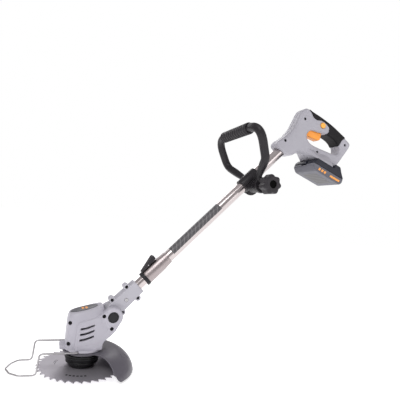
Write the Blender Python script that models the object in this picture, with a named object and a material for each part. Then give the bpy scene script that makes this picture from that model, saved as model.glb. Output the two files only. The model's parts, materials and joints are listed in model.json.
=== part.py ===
"""Cordless lawn edger: a saw-blade head on a telescopic shaft with a rear handle.

Frame: +X towards the rear handle, +Y to the user's right, +Z up, metres.
The origin is the centre of the blade bolt's lower face, on the spindle's axis.
"""
import math

import bmesh
import bpy
from mathutils import Matrix, Vector

MM = 0.001

# Driving dimensions, in millimetres
BLADE_TIP_R = 75.0
BLADE_ROOT_R = 70.6
BLADE_TEETH = 36
BLADE_T = 1.3
BLADE_Z = 8.0            # middle of the blade above the bolt's lower face
PIVOT_X = 42.2
PIVOT_Z = 89.2 + BLADE_Z
SHAFT_ANGLE = 47.1       # degrees from level
TUBE_OFFSET = 4.2        # tube axis above the pivot axis, square to the shaft
INNER_R = 9.5
INNER_BORE = 8.3
OUTER_R = 11.0
OUTER_BORE = 9.9
GAP = 0.3                # clearance between pieces that touch
FLANGE_R = 33.0
FLANGE_Z = (30.0, 34.5)
KNUCKLE_R = 15.5
CHEEK_IN = 12.8
CHEEK_OUT = 26.5
BATTERY_ANGLE = -18.0
BATTERY_AT = (472.0, 0.0, 398.0 + BLADE_Z)
BOLT_ALONG = 383.0       # side handle's bolt: along the shaft
BOLT_BELOW = -18.2       # and below the tube's axis

# Frames that pieces are drawn in (millimetres)
WORLD = Matrix.Identity(4)
HEAD = Matrix.Translation((0, 0, BLADE_Z))
PIVOT = Matrix.Translation((PIVOT_X, 0, PIVOT_Z)) @ Matrix.Rotation(
    math.radians(-SHAFT_ANGLE), 4, "Y")
SHAFT = PIVOT @ Matrix.Translation((0, 0, TUBE_OFFSET))
BATTERY = Matrix.Translation(BATTERY_AT) @ Matrix.Rotation(
    math.radians(-BATTERY_ANGLE), 4, "Y")
CLAMP = SHAFT @ Matrix.Translation((BOLT_ALONG, 0, BOLT_BELOW))

for old in list(bpy.data.objects):
    bpy.data.objects.remove(old)


# ---------------------------------------------------------------- materials
def material(name, colour, roughness, metallic=0.0):
    mat = bpy.data.materials.new(name)
    mat.use_nodes = True
    shader = mat.node_tree.nodes["Principled BSDF"]
    shader.inputs["Base Color"].default_value = (*colour, 1)
    shader.inputs["Roughness"].default_value = roughness
    shader.inputs["Metallic"].default_value = metallic
    return mat


GREY = material("grey_plastic", (0.40, 0.39, 0.44), 0.42)
LIGHT_GREY = material("light_grey_plastic", (0.50, 0.49, 0.53), 0.42)
DARK_GREY = material("dark_grey_plastic", (0.12, 0.115, 0.135), 0.4)
BLACK = material("black_plastic", (0.02, 0.02, 0.023), 0.38)
RUBBER = material("black_rubber", (0.018, 0.017, 0.02), 0.7)
ORANGE = material("orange_plastic", (0.9, 0.32, 0.03), 0.4)
CHROME = material("chrome_tube", (0.78, 0.74, 0.74), 0.15, 1.0)
STEEL = material("steel", (0.55, 0.54, 0.55), 0.3, 1.0)
BLADE_STEEL = material("blade_steel", (0.6, 0.58, 0.6), 0.32, 1.0)
DARK_STEEL = material("dark_steel", (0.05, 0.05, 0.055), 0.4, 1.0)
WIRE = material("plated_wire", (0.42, 0.41, 0.43), 0.35, 1.0)
BATTERY_PLASTIC = material("battery_plastic", (0.035, 0.036, 0.05), 0.4)
BATTERY_GREY = material("battery_grey", (0.13, 0.13, 0.155), 0.5)
CELL_WRAP = material("cell_wrap", (0.05, 0.2, 0.35), 0.4)
BRASS = material("brass", (0.8, 0.6, 0.25), 0.3, 1.0)


# ---------------------------------------------------------------- joints' empties
def empty(name, frame):
    obj = bpy.data.objects.new(name, None)
    metres = frame.copy()
    metres.translation = frame.translation * MM
    obj.matrix_world = metres
    bpy.context.scene.collection.objects.link(obj)
    return obj, metres


HOMES = {}


def home(name, frame):
    HOMES[name] = empty(name, frame)


home("handle_frame", SHAFT @ Matrix.Translation((480, 0, 0)))
home("trigger_axis", Matrix.Translation((429, 0, 506 + BLADE_Z)))
home("lock_off_axis", Matrix.Translation((463, 0, 517 + BLADE_Z)))
home("battery_rail", BATTERY)
home("battery_latch_rail", BATTERY @ Matrix.Translation((-44, 0, 19)))
home("clamp_rail", SHAFT @ Matrix.Translation((BOLT_ALONG, 0, 0)))
home("side_handle_axis", CLAMP)
home("rocker_axis", SHAFT @ Matrix.Translation((106, 0, 16.4)))
home("tube_rail", SHAFT)
home("head_pivot_axis", Matrix.Translation((PIVOT_X, 0, PIVOT_Z)))
home("pivot_button_axis", Matrix.Translation((PIVOT_X, -24, PIVOT_Z)))
home("spindle_axis", HEAD)
home("wire_axis", Matrix.Translation((-12, 0, 32 + BLADE_Z)))


# ---------------------------------------------------------------- mesh helpers
def mesh_object(bm, name):
    bmesh.ops.remove_doubles(bm, verts=bm.verts, dist=0.0005)
    bmesh.ops.recalc_face_normals(bm, faces=bm.faces)
    mesh = bpy.data.meshes.new(name)
    bm.to_mesh(mesh)
    bm.free()
    obj = bpy.data.objects.new(name, mesh)
    bpy.context.scene.collection.objects.link(obj)
    return obj


def rings_to_mesh(rings, name, closed=False):
    """Skin a list of equal rings of points; caps the ends unless closed."""
    bm = bmesh.new()
    rows = [[bm.verts.new(p) for p in ring] for ring in rings]
    count = len(rows[0])
    pairs = list(zip(rows, rows[1:]))
    if closed:
        pairs.append((rows[-1], rows[0]))
    for low, high in pairs:
        for i in range(count):
            j = (i + 1) % count
            bm.faces.new((low[i], low[j], high[j], high[i]))
    if not closed:
        bm.faces.new(rows[0][::-1])
        bm.faces.new(rows[-1])
    return mesh_object(bm, name)


def lathe(profile, name, sides=32, start=0.0, sweep=360.0):
    """Turn a closed (r, z) outline about Z; sweep under 360 makes a capped sector."""
    full = sweep >= 360.0
    steps = sides if full else sides + 1
    rings = []
    for k in range(steps):
        turn = math.radians(start + sweep * k / sides)
        rings.append([(r * math.cos(turn), r * math.sin(turn), z) for r, z in profile])
    bm = bmesh.new()
    rows = [[bm.verts.new(p) for p in ring] for ring in rings]
    pairs = list(zip(rows, rows[1:])) + ([(rows[-1], rows[0])] if full else [])
    for low, high in pairs:
        for i in range(len(profile)):
            j = (i + 1) % len(profile)
            if profile[i][0] == 0 and profile[j][0] == 0:
                continue
            bm.faces.new((low[i], low[j], high[j], high[i]))
    if not full:
        bm.faces.new(rows[0][::-1])
        bm.faces.new(rows[-1])
    bmesh.ops.remove_doubles(bm, verts=bm.verts, dist=0.0005)
    bmesh.ops.dissolve_degenerate(bm, edges=bm.edges, dist=0.0005)
    return mesh_object(bm, name)


def ring(outer, inner, low, high, name, sides=24):
    return lathe([(inner, low), (outer, low), (outer, high), (inner, high)], name, sides)


def rod(radius, low, high, name, sides=16):
    return lathe([(0, low), (radius, low), (radius, high), (0, high)], name, sides)


def turned(obj, axis, at=(0, 0, 0)):
    """Move a piece drawn along Z so that it lies along another axis through a point."""
    turn = {"X": Matrix.Rotation(math.radians(90), 4, "Y"),
            "Y": Matrix.Rotation(math.radians(-90), 4, "X"),
            "Z": Matrix.Identity(4)}[axis]
    obj.data.transform(Matrix.Translation(at) @ turn)
    return obj


def box(low, high, name):
    rings = [[(low[0], low[1], z), (high[0], low[1], z), (high[0], high[1], z),
              (low[0], high[1], z)] for z in (low[2], high[2])]
    return rings_to_mesh(rings, name)


def offset_outline(points, distance):
    """Move each corner of a closed outline outwards along its bisector."""
    area = sum(a[0] * b[1] - b[0] * a[1] for a, b in zip(points, points[1:] + points[:1]))
    sign = 1.0 if area > 0 else -1.0
    moved = []
    for k, here in enumerate(points):
        before = points[k - 1]
        after = points[(k + 1) % len(points)]
        d1 = Vector((here[0] - before[0], here[1] - before[1])).normalized()
        d2 = Vector((after[0] - here[0], after[1] - here[1])).normalized()
        n1 = Vector((d1.y, -d1.x)) * sign
        n2 = Vector((d2.y, -d2.x)) * sign
        middle = (n1 + n2).normalized()
        reach = distance / max(middle.dot(n1), 0.5)
        moved.append((here[0] + middle.x * reach, here[1] + middle.y * reach))
    return moved


def slab(outline, levels, name):
    """Skin an XZ outline through (y, offset) levels."""
    rings = [[(x, y, z) for x, z in offset_outline(outline, grow)] for y, grow in levels]
    return rings_to_mesh(rings, name)


def arc(centre, radius, first, last, count):
    step = (last - first) / (count - 1)
    return [(centre[0] + radius * math.cos(math.radians(first + step * k)),
             centre[1] + radius * math.sin(math.radians(first + step * k)))
            for k in range(count)]


def hull(points, name):
    bm = bmesh.new()
    verts = [bm.verts.new(p) for p in points]
    found = bmesh.ops.convex_hull(bm, input=verts)
    spare = set(found["geom_interior"]) | set(found["geom_unused"])
    bmesh.ops.delete(bm, geom=[v for v in spare if isinstance(v, bmesh.types.BMVert)],
                     context="VERTS")
    return mesh_object(bm, name)


def sweep(path, radius, name, sides=10, closed=False):
    """A round bar along a list of points, turned without twist."""
    count = len(path)
    points = [Vector(p) for p in path]
    radii = radius if isinstance(radius, list) else [radius] * count
    tangents = []
    for k in range(count):
        before = points[(k - 1) % count] if closed or k else points[k]
        after = points[(k + 1) % count] if closed or k < count - 1 else points[k]
        tangents.append((after - before).normalized())
    side = tangents[0].orthogonal().normalized()
    rings = []
    for point, tangent, reach in zip(points, tangents, radii):
        side = (side - tangent * side.dot(tangent)).normalized()
        other = tangent.cross(side)
        rings.append([point + (side * math.cos(a) + other * math.sin(a)) * reach
                      for a in (2 * math.pi * i / sides for i in range(sides))])
    return rings_to_mesh(rings, name, closed)


def rounded_path(corners, radii, steps=5):
    """Straight runs between corners, each corner eased by a curve of about its radius."""
    path = [Vector(corners[0])]
    for k in range(1, len(corners) - 1):
        here = Vector(corners[k])
        back = (Vector(corners[k - 1]) - here).normalized()
        on = (Vector(corners[k + 1]) - here).normalized()
        half = back.angle(on) / 2
        run = radii[k] / math.tan(half)
        first, last = here + back * run, here + on * run
        for s in range(steps + 1):
            t = s / steps
            path.append(first * (1 - t) ** 2 + here * 2 * t * (1 - t) + last * t * t)
    path.append(Vector(corners[-1]))
    return path


def combine(base, tools, operation):
    """Apply a Boolean with each tool in turn, and remove the tools."""
    for tool in tools:
        step = base.modifiers.new("cut", "BOOLEAN")
        step.operation = operation
        step.solver = "EXACT"
        step.object = tool
        bpy.context.view_layer.update()
        result = base.evaluated_get(bpy.context.evaluated_depsgraph_get())
        mesh = bpy.data.meshes.new_from_object(result)
        base.modifiers.clear()
        base.data = mesh
        bpy.data.objects.remove(tool)
    return base


def cut(base, *tools):
    return combine(base, tools, "DIFFERENCE")


def join(base, *tools):
    return combine(base, tools, "UNION")


def common(base, tool):
    return combine(base, [tool], "INTERSECT")


def copy_of(obj):
    twin = obj.copy()
    twin.data = obj.data.copy()
    bpy.context.scene.collection.objects.link(twin)
    return twin


def finish(obj, name, mat, frame, parent, smooth=40):
    """Name a piece, put it in metres under its joint's empty and give it its material."""
    anchor, anchor_matrix = HOMES[parent]
    metres = Matrix.Scale(MM, 4) @ frame
    obj.data.transform(anchor_matrix.inverted() @ metres)
    obj.parent = anchor
    obj.name = name
    obj.data.name = name
    obj.data.materials.clear()
    obj.data.materials.append(mat)
    obj.data.shade_smooth()
    obj.data.set_sharp_from_angle(angle=math.radians(smooth))
    return obj


def side_screw(head_r, head_t, shank_r, length, seat, sides=8):
    """A screw driven along +Y whose head rests near a seat and stands out towards -Y."""
    face = -GAP
    profile = [(0, face - head_t), (head_r, face - head_t), (head_r, face), (shank_r, face),
               (shank_r, length), (0, length)]
    return turned(lathe(profile, "screw", sides), "Y", seat)


# ---------------------------------------------------------------- rear handle
HANDLE_OUTLINE = [
    (351, 450), (353, 463), (371, 477), (386, 495), (396, 516), (405, 537), (413, 546),
    (421, 548), (432, 543), (460, 534), (490, 522), (515, 509), (535, 498), (546, 490),
    (545, 480), (530, 457), (519, 441), (509, 432), (480, 438), (440, 446), (412, 449),
    (400, 444), (388, 437), (372, 437)]
HANDLE_OUTLINE = [(x, z + BLADE_Z) for x, z in HANDLE_OUTLINE]
LOOP_OUTLINE = [
    (424, 489), (428, 478), (438, 470.5), (455, 466), (478, 462), (503, 458.5), (514, 461.5),
    (516, 472), (509, 485), (495, 494), (477, 499.5), (454, 500.5), (434, 501)]
LOOP_OUTLINE = [(x, z + BLADE_Z) for x, z in LOOP_OUTLINE]
HANDLE_HALF = 16.5
SHELL_T = 2.4
SCREW_SEAT = HANDLE_HALF - 3.5
LOCK_BUTTON_R = 6.2
HANDLE_SCREWS = [(414, 523), (368, 466), (454, 455), (484, 509), (531, 484)]


def handle_solid(grow, name):
    """The handle's outer form, with its finger loop, grown by a distance."""
    half = HANDLE_HALF + grow
    body = slab(HANDLE_OUTLINE, [(-half, grow - 5), (-half + 1.5, grow - 2), (-half + 5, grow),
                                 (half - 5, grow), (half - 1.5, grow - 2), (half, grow - 5)],
                name)
    loop = slab(LOOP_OUTLINE, [(-half - 1, 5 - grow), (-half + 1.5, 2 - grow),
                               (-half + 6, -grow), (half - 6, -grow),
                               (half - 1.5, 2 - grow), (half + 1, 5 - grow)], "loop")
    return cut(body, loop)


def battery_point(along, side, up):
    return BATTERY @ Vector((along, side, up))


def foot_solid(name):
    """The flare that spreads from the handle's lower bar to the battery's width."""
    points = []
    for side in (-1, 1):
        points += [battery_point(-39, side * 29, 29), battery_point(-35, side * 34, 29),
                   battery_point(4, side * 34, 29), battery_point(7, side * 31, 29),
                   battery_point(-37, side * 32, 33), battery_point(5, side * 33, 33),
                   battery_point(7, side * 29, 33)]
        points += [(418, side * 13, 452 + BLADE_Z), (428, side * 15.5, 460 + BLADE_Z),
                   (486, side * 15.5, 450 + BLADE_Z), (492, side * 15, 440 + BLADE_Z)]
    return hull(points, name)


def handle_shells():
    body = join(handle_solid(0, "handle"), foot_solid("foot"))
    half = HANDLE_HALF - SHELL_T
    cavity = slab(HANDLE_OUTLINE, [(-half, -SHELL_T - 3), (-half + 3, -SHELL_T),
                                   (half - 3, -SHELL_T), (half, -SHELL_T - 3)], "cavity")
    keep = slab(LOOP_OUTLINE, [(-30, SHELL_T + 2.5), (-9, SHELL_T), (9, SHELL_T),
                               (30, SHELL_T + 2.5)], "keep")
    below = box((360, -40, 420), (560, 40, 452 + BLADE_Z), "below")
    cavity = cut(cavity, keep, below)
    for x, z in HANDLE_SCREWS:
        cavity = cut(cavity, turned(rod(4.2, -30, 30, "boss", 8), "Y", (x, 0, z + BLADE_Z)))
    bore = turned(rod(OUTER_R + GAP, 455, 533, "bore", 24), "X")
    bore.data.transform(SHAFT)
    slot = box((422, -8.8, 486 + BLADE_Z), (470, 8.8, 512 + BLADE_Z), "slot")
    button = turned(rod(LOCK_BUTTON_R + 0.4, -30, -5, "button_hole", 16), "Y",
                    (463, 0, 517 + BLADE_Z))
    pocket = box((-24, -15, 20), (20, 15, 35), "pocket")
    pocket.data.transform(BATTERY)
    body = cut(body, cavity, bore, slot, button, pocket)
    for x, z in HANDLE_SCREWS:
        at = (x, 0, z + BLADE_Z)
        body = cut(body, turned(rod(1.7, -SCREW_SEAT, 11, "pilot", 8), "Y", at),
                   turned(rod(3.3, -30, -SCREW_SEAT, "counterbore", 10), "Y", at))
    right = copy_of(body)
    cut(body, box((300, -0.15, 380), (600, 60, 620), "half"))
    cut(right, box((300, -60, 380), (600, 0.15, 620), "half"))
    finish(body, "handle_shell_left", GREY, WORLD, "handle_frame")
    finish(right, "handle_shell_right", GREY, WORLD, "handle_frame")
    for number, (x, z) in enumerate(HANDLE_SCREWS, 1):
        finish(side_screw(2.9, 1.8, 1.4, 22, (x, -SCREW_SEAT - 0.5, z + BLADE_Z)),
               f"handle_screw_{number}", DARK_STEEL, WORLD, "handle_frame")


def grip_overmould():
    region = [(426, 556), (431, 536), (438, 529), (446, 526), (458, 527), (470, 523),
              (481, 514), (479, 503), (470, 492), (474, 482), (503, 468), (512, 478),
              (519, 492), (532, 506), (520, 530), (470, 560)]
    region = [(x, z + BLADE_Z) for x, z in region]
    skin = common(handle_solid(1.6, "skin"), slab(region, [(-26, 0), (26, 0)], "region"))
    skin = cut(skin, handle_solid(GAP, "core"))
    finish(skin, "grip_overmould", RUBBER, WORLD, "handle_frame")


def trigger_parts():
    outline = [(427, 489.5), (443, 486.5), (460, 483.5), (464, 486), (466.5, 495), (466.5, 505),
               (440, 510), (429, 510.5), (425.5, 506), (425.5, 495)]
    outline = [(x, z + BLADE_Z) for x, z in outline]
    trigger = slab(outline, [(-8.3, -1.5), (-6.8, 0), (6.8, 0), (8.3, -1.5)], "trigger")
    trigger = cut(trigger, turned(rod(1.8, -12, 12, "eye", 12), "Y", (429, 0, 506 + BLADE_Z)))
    finish(trigger, "trigger", ORANGE, WORLD, "trigger_axis")
    pin = turned(rod(1.5, -8.2, 8.2, "pin", 12), "Y", (429, 0, 506 + BLADE_Z))
    finish(pin, "trigger_pin", STEEL, WORLD, "handle_frame")
    switch = box((414, -7, 513.5 + BLADE_Z), (434, 7, 527 + BLADE_Z), "switch")
    switch = cut(switch, turned(rod(4.6, -20, 20, "clear", 12), "Y", (414, 0, 523 + BLADE_Z)))
    finish(switch, "trigger_switch", BLACK, WORLD, "handle_frame")
    out = -HANDLE_HALF - 2.4
    button = lathe([(0, out), (LOCK_BUTTON_R - 0.8, out), (LOCK_BUTTON_R, out + 0.8),
                    (LOCK_BUTTON_R, -7), (0, -7)], "button", 20)
    finish(turned(button, "Y", (463, 0, 517 + BLADE_Z)), "lock_off_button", ORANGE, WORLD,
           "lock_off_axis")
    block = box((-22, -13, 31.3), (2, 13, 34.7), "block")
    finish(block, "terminal_block", BLACK, BATTERY, "handle_frame")


# ---------------------------------------------------------------- shaft tubes
TUBE_END = 531.0
COLLAR = (85.5, 126.0, 144.0)
COLLAR_R = 13.5


def shaft_tubes():
    tube = ring(OUTER_R, OUTER_BORE, 86.5, TUBE_END, "outer", 24)
    finish(turned(tube, "X"), "outer_tube", CHROME, SHAFT, "handle_frame")
    inner_edge = OUTER_R + GAP
    low, mid, top = COLLAR
    profile = [(inner_edge, low + 4), (COLLAR_R, low + 4), (COLLAR_R, mid), (12.6, mid + 7),
               (12.0, top), (inner_edge, top)]
    collar = turned(lathe(profile, "collar", 28), "X")
    hole = rod(3.4, 8, 20, "hole", 12)
    hole.data.transform(Matrix.Translation((95, 0, 0)))
    finish(cut(collar, hole), "tube_collar", CHROME, SHAFT, "handle_frame")
    tube = bpy.data.objects["outer_tube"]
    hole = rod(3.4, 5, 20, "hole", 12)
    anchor_matrix = HOMES["handle_frame"][1]
    hole.data.transform(anchor_matrix.inverted() @ Matrix.Scale(MM, 4) @ SHAFT
                        @ Matrix.Translation((95, 0, 0)))
    hole.parent = tube.parent
    combine(tube, [hole], "DIFFERENCE")
    bush = lathe([(OUTER_BORE, 82.5), (13.9, 82.5), (13.9, 89.2), (inner_edge, 89.2),
                  (inner_edge, 86.2), (OUTER_BORE, 86.2)], "bush", 28)
    finish(turned(bush, "X"), "collar_bush", BLACK, SHAFT, "handle_frame")


def lock_rocker():
    outline = [(88, 14.1), (106, 14.1), (125, 16.6), (125, 23.8), (122, 24.4), (104, 19.5),
               (89, 15.6)]
    lever = slab(outline, [(-7, -0.8), (-6, 0), (6, 0), (7, -0.8)], "lever")
    lever = cut(lever, turned(rod(1.3, -12, 12, "eye", 10), "Y", (106, 0, 16.4)))
    finish(lever, "lock_rocker", BLACK, SHAFT, "rocker_axis")
    pad = rod(2.4, 10.0, 13.8, "pad", 12)
    pad.data.transform(Matrix.Translation((95, 0, 0)))
    finish(pad, "lock_pad", BRASS, SHAFT, "rocker_axis")
    pin = turned(rod(1.0, -6.9, 6.9, "pin", 10), "Y", (106, 0, 16.4))
    finish(pin, "rocker_pin", STEEL, SHAFT, "rocker_axis")


def inner_tube():
    tube = turned(ring(INNER_R, INNER_BORE, 26, 430, "inner", 24), "X")
    finish(tube, "inner_tube", CHROME, SHAFT, "tube_rail")


EARS = [(17.3, 20.0), (50.8, 19.5), (16.0, -10.0), (52.6, -10.6)]
HEX_SCREW = (35.5, 2.6)


def arm_bracket():
    knuckle = arc((0, 0), KNUCKLE_R, 100, 318, 11)
    outline = knuckle + [(24, -9.6), (68, -8.6), (68, 16.8), (40, 17.3), (8, 18.0)]
    body = slab(outline, [(-12.3, -2), (-10.6, 0), (10.6, 0), (12.3, -2)], "bracket")
    for along, up in EARS:
        body = join(body, turned(rod(5.5, -9.7, 9.7, "ear", 12), "Y", (along, 0, up)))
    bore = turned(rod(INNER_R + GAP, 24, 80, "bore", 20), "X", (0, 0, TUBE_OFFSET))
    axle = turned(rod(5.3, -20, 20, "axle", 14), "Y")
    body = cut(body, bore, axle)
    for along, up in EARS:
        body = cut(body, turned(rod(1.6, -8.4, 6, "pilot", 8), "Y", (along, 0, up)),
                   turned(rod(3.0, -20, -8, "counterbore", 10), "Y", (along, 0, up)))
    body = cut(body, turned(rod(3.2, -20, -10.4, "socket", 12), "Y",
                            (HEX_SCREW[0], 0, HEX_SCREW[1])))
    right = copy_of(body)
    cut(body, box((-30, -0.15, -40), (90, 30, 40), "half"))
    cut(right, box((-30, -30, -40), (90, 0.15, 40), "half"))
    finish(body, "arm_bracket_left", LIGHT_GREY, PIVOT, "tube_rail")
    finish(right, "arm_bracket_right", LIGHT_GREY, PIVOT, "tube_rail")
    for number, (along, up) in enumerate(EARS, 1):
        finish(side_screw(2.6, 0.9, 1.3, 12, (along, -8.3, up)), f"bracket_screw_{number}",
               DARK_STEEL, PIVOT, "tube_rail")
    stud = turned(rod(2.9, -12.6, -10.7, "stud", 12), "Y", (HEX_SCREW[0], 0, HEX_SCREW[1]))
    stud = cut(stud, turned(rod(1.5, -13, -11.6, "hex", 6), "Y", (HEX_SCREW[0], 0, HEX_SCREW[1])))
    finish(stud, "tube_screw", STEEL, PIVOT, "tube_rail")


# ---------------------------------------------------------------- motor head
TOP_SLOPE = 0.27
BODY_LEVELS = [  # height, slope, half length, half width, middle
    (32.0, 0.0, 30.5, 24.0, -2.0), (60.0, 0.0, 31.0, 24.5, -2.0),
    (84.0, 0.17, 31.0, 24.5, -2.0), (93.5, 0.25, 30.4, 22.5, -2.0),
    (98.0, TOP_SLOPE, 29.2, 20.0, -2.0), (100.3, TOP_SLOPE, 27.0, 17.0, -2.2)]
WALL = 2.3
HOUSING_SCREWS = [(-28.8, 78.0, 19.0), (-27.5, 43.0, 19.0), (26.0, 91.0, 25.0),
                  (41.6, 69.3, 25.0)]


def body_ring(height, slope, a, b, middle, count=24, power=4.0):
    points = []
    for k in range(count):
        turn = 2 * math.pi * (k + 0.5) / count
        c, s = math.cos(turn), math.sin(turn)
        reach = (abs(c) ** power + abs(s) ** power) ** (-1 / power)
        x = middle + a * c * reach
        points.append((x, b * s * reach, height + slope * x))
    return points


def body_solid(shrink, bottom, name):
    levels = [list(level) for level in BODY_LEVELS]
    levels[0][0] = bottom
    rings = []
    for height, slope, a, b, middle in levels:
        drop = shrink if height > 90 else 0
        rings.append(body_ring(height - drop, slope, a - shrink, b - shrink, middle))
    return rings_to_mesh(rings, name)


def cheek_outline():
    """Side plate: panel over the motor, running into the knuckle round the pivot."""
    at = (PIVOT_X, PIVOT_Z - BLADE_Z)
    return ([(28.5, 33.0), (-17, 33.0), (-17, 74), (-16, 78.5), (-12, 81), (2, 84.5),
             (14, 89), (24, 96)] + arc(at, 17.0, 128, -38, 11)
            + [(49, 65.5), (42, 57.5), (35, 51.3), (30.5, 47), (28.7, 42)])


def vent_slot(middle_z, name):
    top = [(x, middle_z + 1.85 + 7.0 * ((x + 11) / 23.5) ** 1.6)
           for x in (-11, -5, 0.75, 6.6, 12.5)]
    bottom = [(x, z - 3.7) for x, z in reversed(top)]
    return slab(top + bottom, [(-40, 0), (40, 0)], name)


def motor_housing():
    body = body_solid(0, 32.0, "housing")
    for side in (-1, 1):
        levels = [(side * CHEEK_IN, 0), (side * (CHEEK_OUT - 1.6), 0), (side * CHEEK_OUT, -1.6)]
        body = join(body, slab(cheek_outline(), levels, "cheek"))
        low, high = sorted((side * 15.0, side * 27.4))
        body = join(body, turned(rod(15.6, low, high, "boss", 22), "Y", (PIVOT_X, 0, 89.2)))
    flange = lathe([(0, 30.0), (FLANGE_R - 0.8, 30.0), (FLANGE_R, 30.8), (FLANGE_R, 33.7),
                    (FLANGE_R - 0.8, 34.5), (0, 34.5)], "flange", 28)
    lug = box((-41, -14, 31.4), (-28, 14, 38.5), "lug")
    body = join(body, flange, lug)
    cavity = body_solid(WALL, 34.0, "cavity")
    slot_half = CHEEK_IN + 0.2
    arm_slot = box((24.5, -slot_half, 60), (70, slot_half, 120), "slot")
    knuckle = turned(rod(17.5, -slot_half, slot_half, "knuckle", 22), "Y", (PIVOT_X, 0, 89.2))
    body = cut(body, cavity, arm_slot, knuckle,
               rod(9.3, 20, 40, "shaft_hole", 18),
               turned(rod(5.3, -22.4, 22.4, "axle_bore", 14), "Y", (PIVOT_X, 0, 89.2)),
               turned(rod(9.4, 22.2, 30, "recess", 20), "Y", (PIVOT_X, 0, 89.2)),
               turned(rod(9.4, -30, -22.2, "recess", 20), "Y", (PIVOT_X, 0, 89.2)))
    for k in range(3):
        body = cut(body, vent_slot(69.0 - 9.4 * k, "vent"))
    for x, z, y in HOUSING_SCREWS:
        body = cut(body, turned(rod(3.3, -40, -y + 1.5, "counterbore", 10), "Y", (x, 0, z)))
    for side in (-1, 1):
        low, high = sorted((side * 24.0, side * 40.0))
        body = cut(body, turned(rod(1.9, low, high, "wire_hole", 12), "Y", (-12, 0, 32.2)))
    badge_hole = slab_ellipse(23.0, 14.6, "badge_seat", 99.3, 110)
    body = cut(body, badge_hole)
    right = copy_of(body)
    cut(body, box((-60, -0.15, 0), (90, 60, 140), "half"))
    cut(right, box((-60, -60, 0), (90, 0.15, 140), "half"))
    finish(body, "motor_housing_left", GREY, HEAD, "head_pivot_axis")
    finish(right, "motor_housing_right", GREY, HEAD, "head_pivot_axis")
    for number, (x, z, y) in enumerate(HOUSING_SCREWS, 1):
        piece = turned(rod(3.0, -y - 0.4, -y + 1.2, "head", 12), "Y", (x, 0, z))
        finish(piece, f"housing_screw_{number}", DARK_STEEL, HEAD, "head_pivot_axis")
    badge = slab_ellipse(22.6, 14.2, "badge", 99.6, 100.9)
    finish(badge, "top_badge", DARK_GREY, HEAD, "head_pivot_axis")


def slab_ellipse(a, b, name, low, high, count=24):
    """An oval plate on the sloping top of the housing."""
    rings = []
    for height in (low, high):
        points = []
        for k in range(count):
            turn = 2 * math.pi * k / count
            x = -6.5 + a * math.cos(turn)
            points.append((x, b * math.sin(turn), height + TOP_SLOPE * x))
        rings.append(points)
    return rings_to_mesh(rings, name)


def pivot_parts():
    at = (PIVOT_X, 0, 89.2)
    finish(turned(rod(5.0, -21.9, 21.9, "axle", 20), "Y", at), "pivot_axle", STEEL, HEAD,
           "head_pivot_axis")
    cap = [(0, 22.5), (9.0, 22.5), (9.0, 27.2), (8.4, 27.8), (0, 27.8)]
    finish(turned(lathe(cap, "cap", 28), "Y", at), "pivot_cap", BLACK, HEAD,
           "head_pivot_axis")
    button = [(0, -27.8), (8.4, -27.8), (9.0, -27.2), (9.0, -24.6), (0, -24.6)]
    finish(turned(lathe(button, "button", 28), "Y", at), "pivot_button", BLACK, HEAD,
           "pivot_button_axis")


def motor_inside():
    can = lathe([(17.0, 47), (18.5, 47), (18.5, 86), (6, 86), (6, 84.5), (17.0, 84.5)], "can", 24)
    finish(can, "motor_can", STEEL, HEAD, "head_pivot_axis")
    end = lathe([(9.0, 38.3), (17.5, 42), (18.5, 46.7), (5, 46.7), (5, 44)], "end", 24)
    finish(end, "motor_end_cap", BLACK, HEAD, "head_pivot_axis")
    finish(ring(9.0, 4.4, 31, 36.8, "bearing", 24), "shaft_bearing", STEEL, HEAD,
           "head_pivot_axis")
    finish(rod(4.0, 6.3, 90, "shaft", 16), "motor_shaft", STEEL, HEAD, "spindle_axis")
    finish(ring(15.5, 4.3, 52, 80, "rotor", 20), "motor_rotor", DARK_STEEL, HEAD,
           "spindle_axis")


# ---------------------------------------------------------------- guard, blade and wire
GUARD_PROFILE = [(34.0, 29.6), (46, 30.4), (58, 28.9), (70, 23.4), (79, 16.3),
                 (85.6, 8.0), (89, 1.5), (91, -5.2)]
GUARD_T = 2.4


def guard_edge_angle(k):
    """Half angle of the guard at a level: wide at the hub, rounded at the lower corner."""
    last = len(GUARD_PROFILE) - 1
    if k == last:
        return 50.0
    if k == last - 1:
        return 55.0
    return 57.0 + 10.0 * max(0.0, 1 - k / 3) ** 1.5


def guard():
    steps = 16
    rings = []
    inner = offset_inner(GUARD_PROFILE, GUARD_T)
    for k in range(steps + 1):
        share = 2 * k / steps - 1
        points = []
        for i, (r, z) in enumerate(GUARD_PROFILE):
            turn = math.radians(share * guard_edge_angle(i))
            points.append((r * math.cos(turn), r * math.sin(turn), z))
        for i in reversed(range(len(inner))):
            r, z = inner[i]
            turn = math.radians(share * guard_edge_angle(i))
            points.append((r * math.cos(turn), r * math.sin(turn), z))
        rings.append(points)
    dome = rings_to_mesh(rings, "dome")
    hub = lathe([(18.0, 26.5), (33.6, 26.5), (35.0, 27.4), (35.0, 29.0), (34.3, 29.7),
                 (18.0, 29.7)], "hub", 28)
    body = join(dome, hub)
    finish(body, "guard", DARK_GREY, HEAD, "head_pivot_axis")
    finish(ring(27.5, 18, 22.6, 26.2, "neck", 36), "neck_ring", LIGHT_GREY, HEAD,
           "head_pivot_axis")


def offset_inner(profile, thickness):
    """The guard's inside: each point moved square to the profile, inwards."""
    moved = []
    for k, here in enumerate(profile):
        before = Vector(profile[max(k - 1, 0)])
        after = Vector(profile[min(k + 1, len(profile) - 1)])
        d = (after - before).normalized()
        moved.append((here[0] + d.y * thickness, here[1] - d.x * thickness))
    return moved


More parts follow.
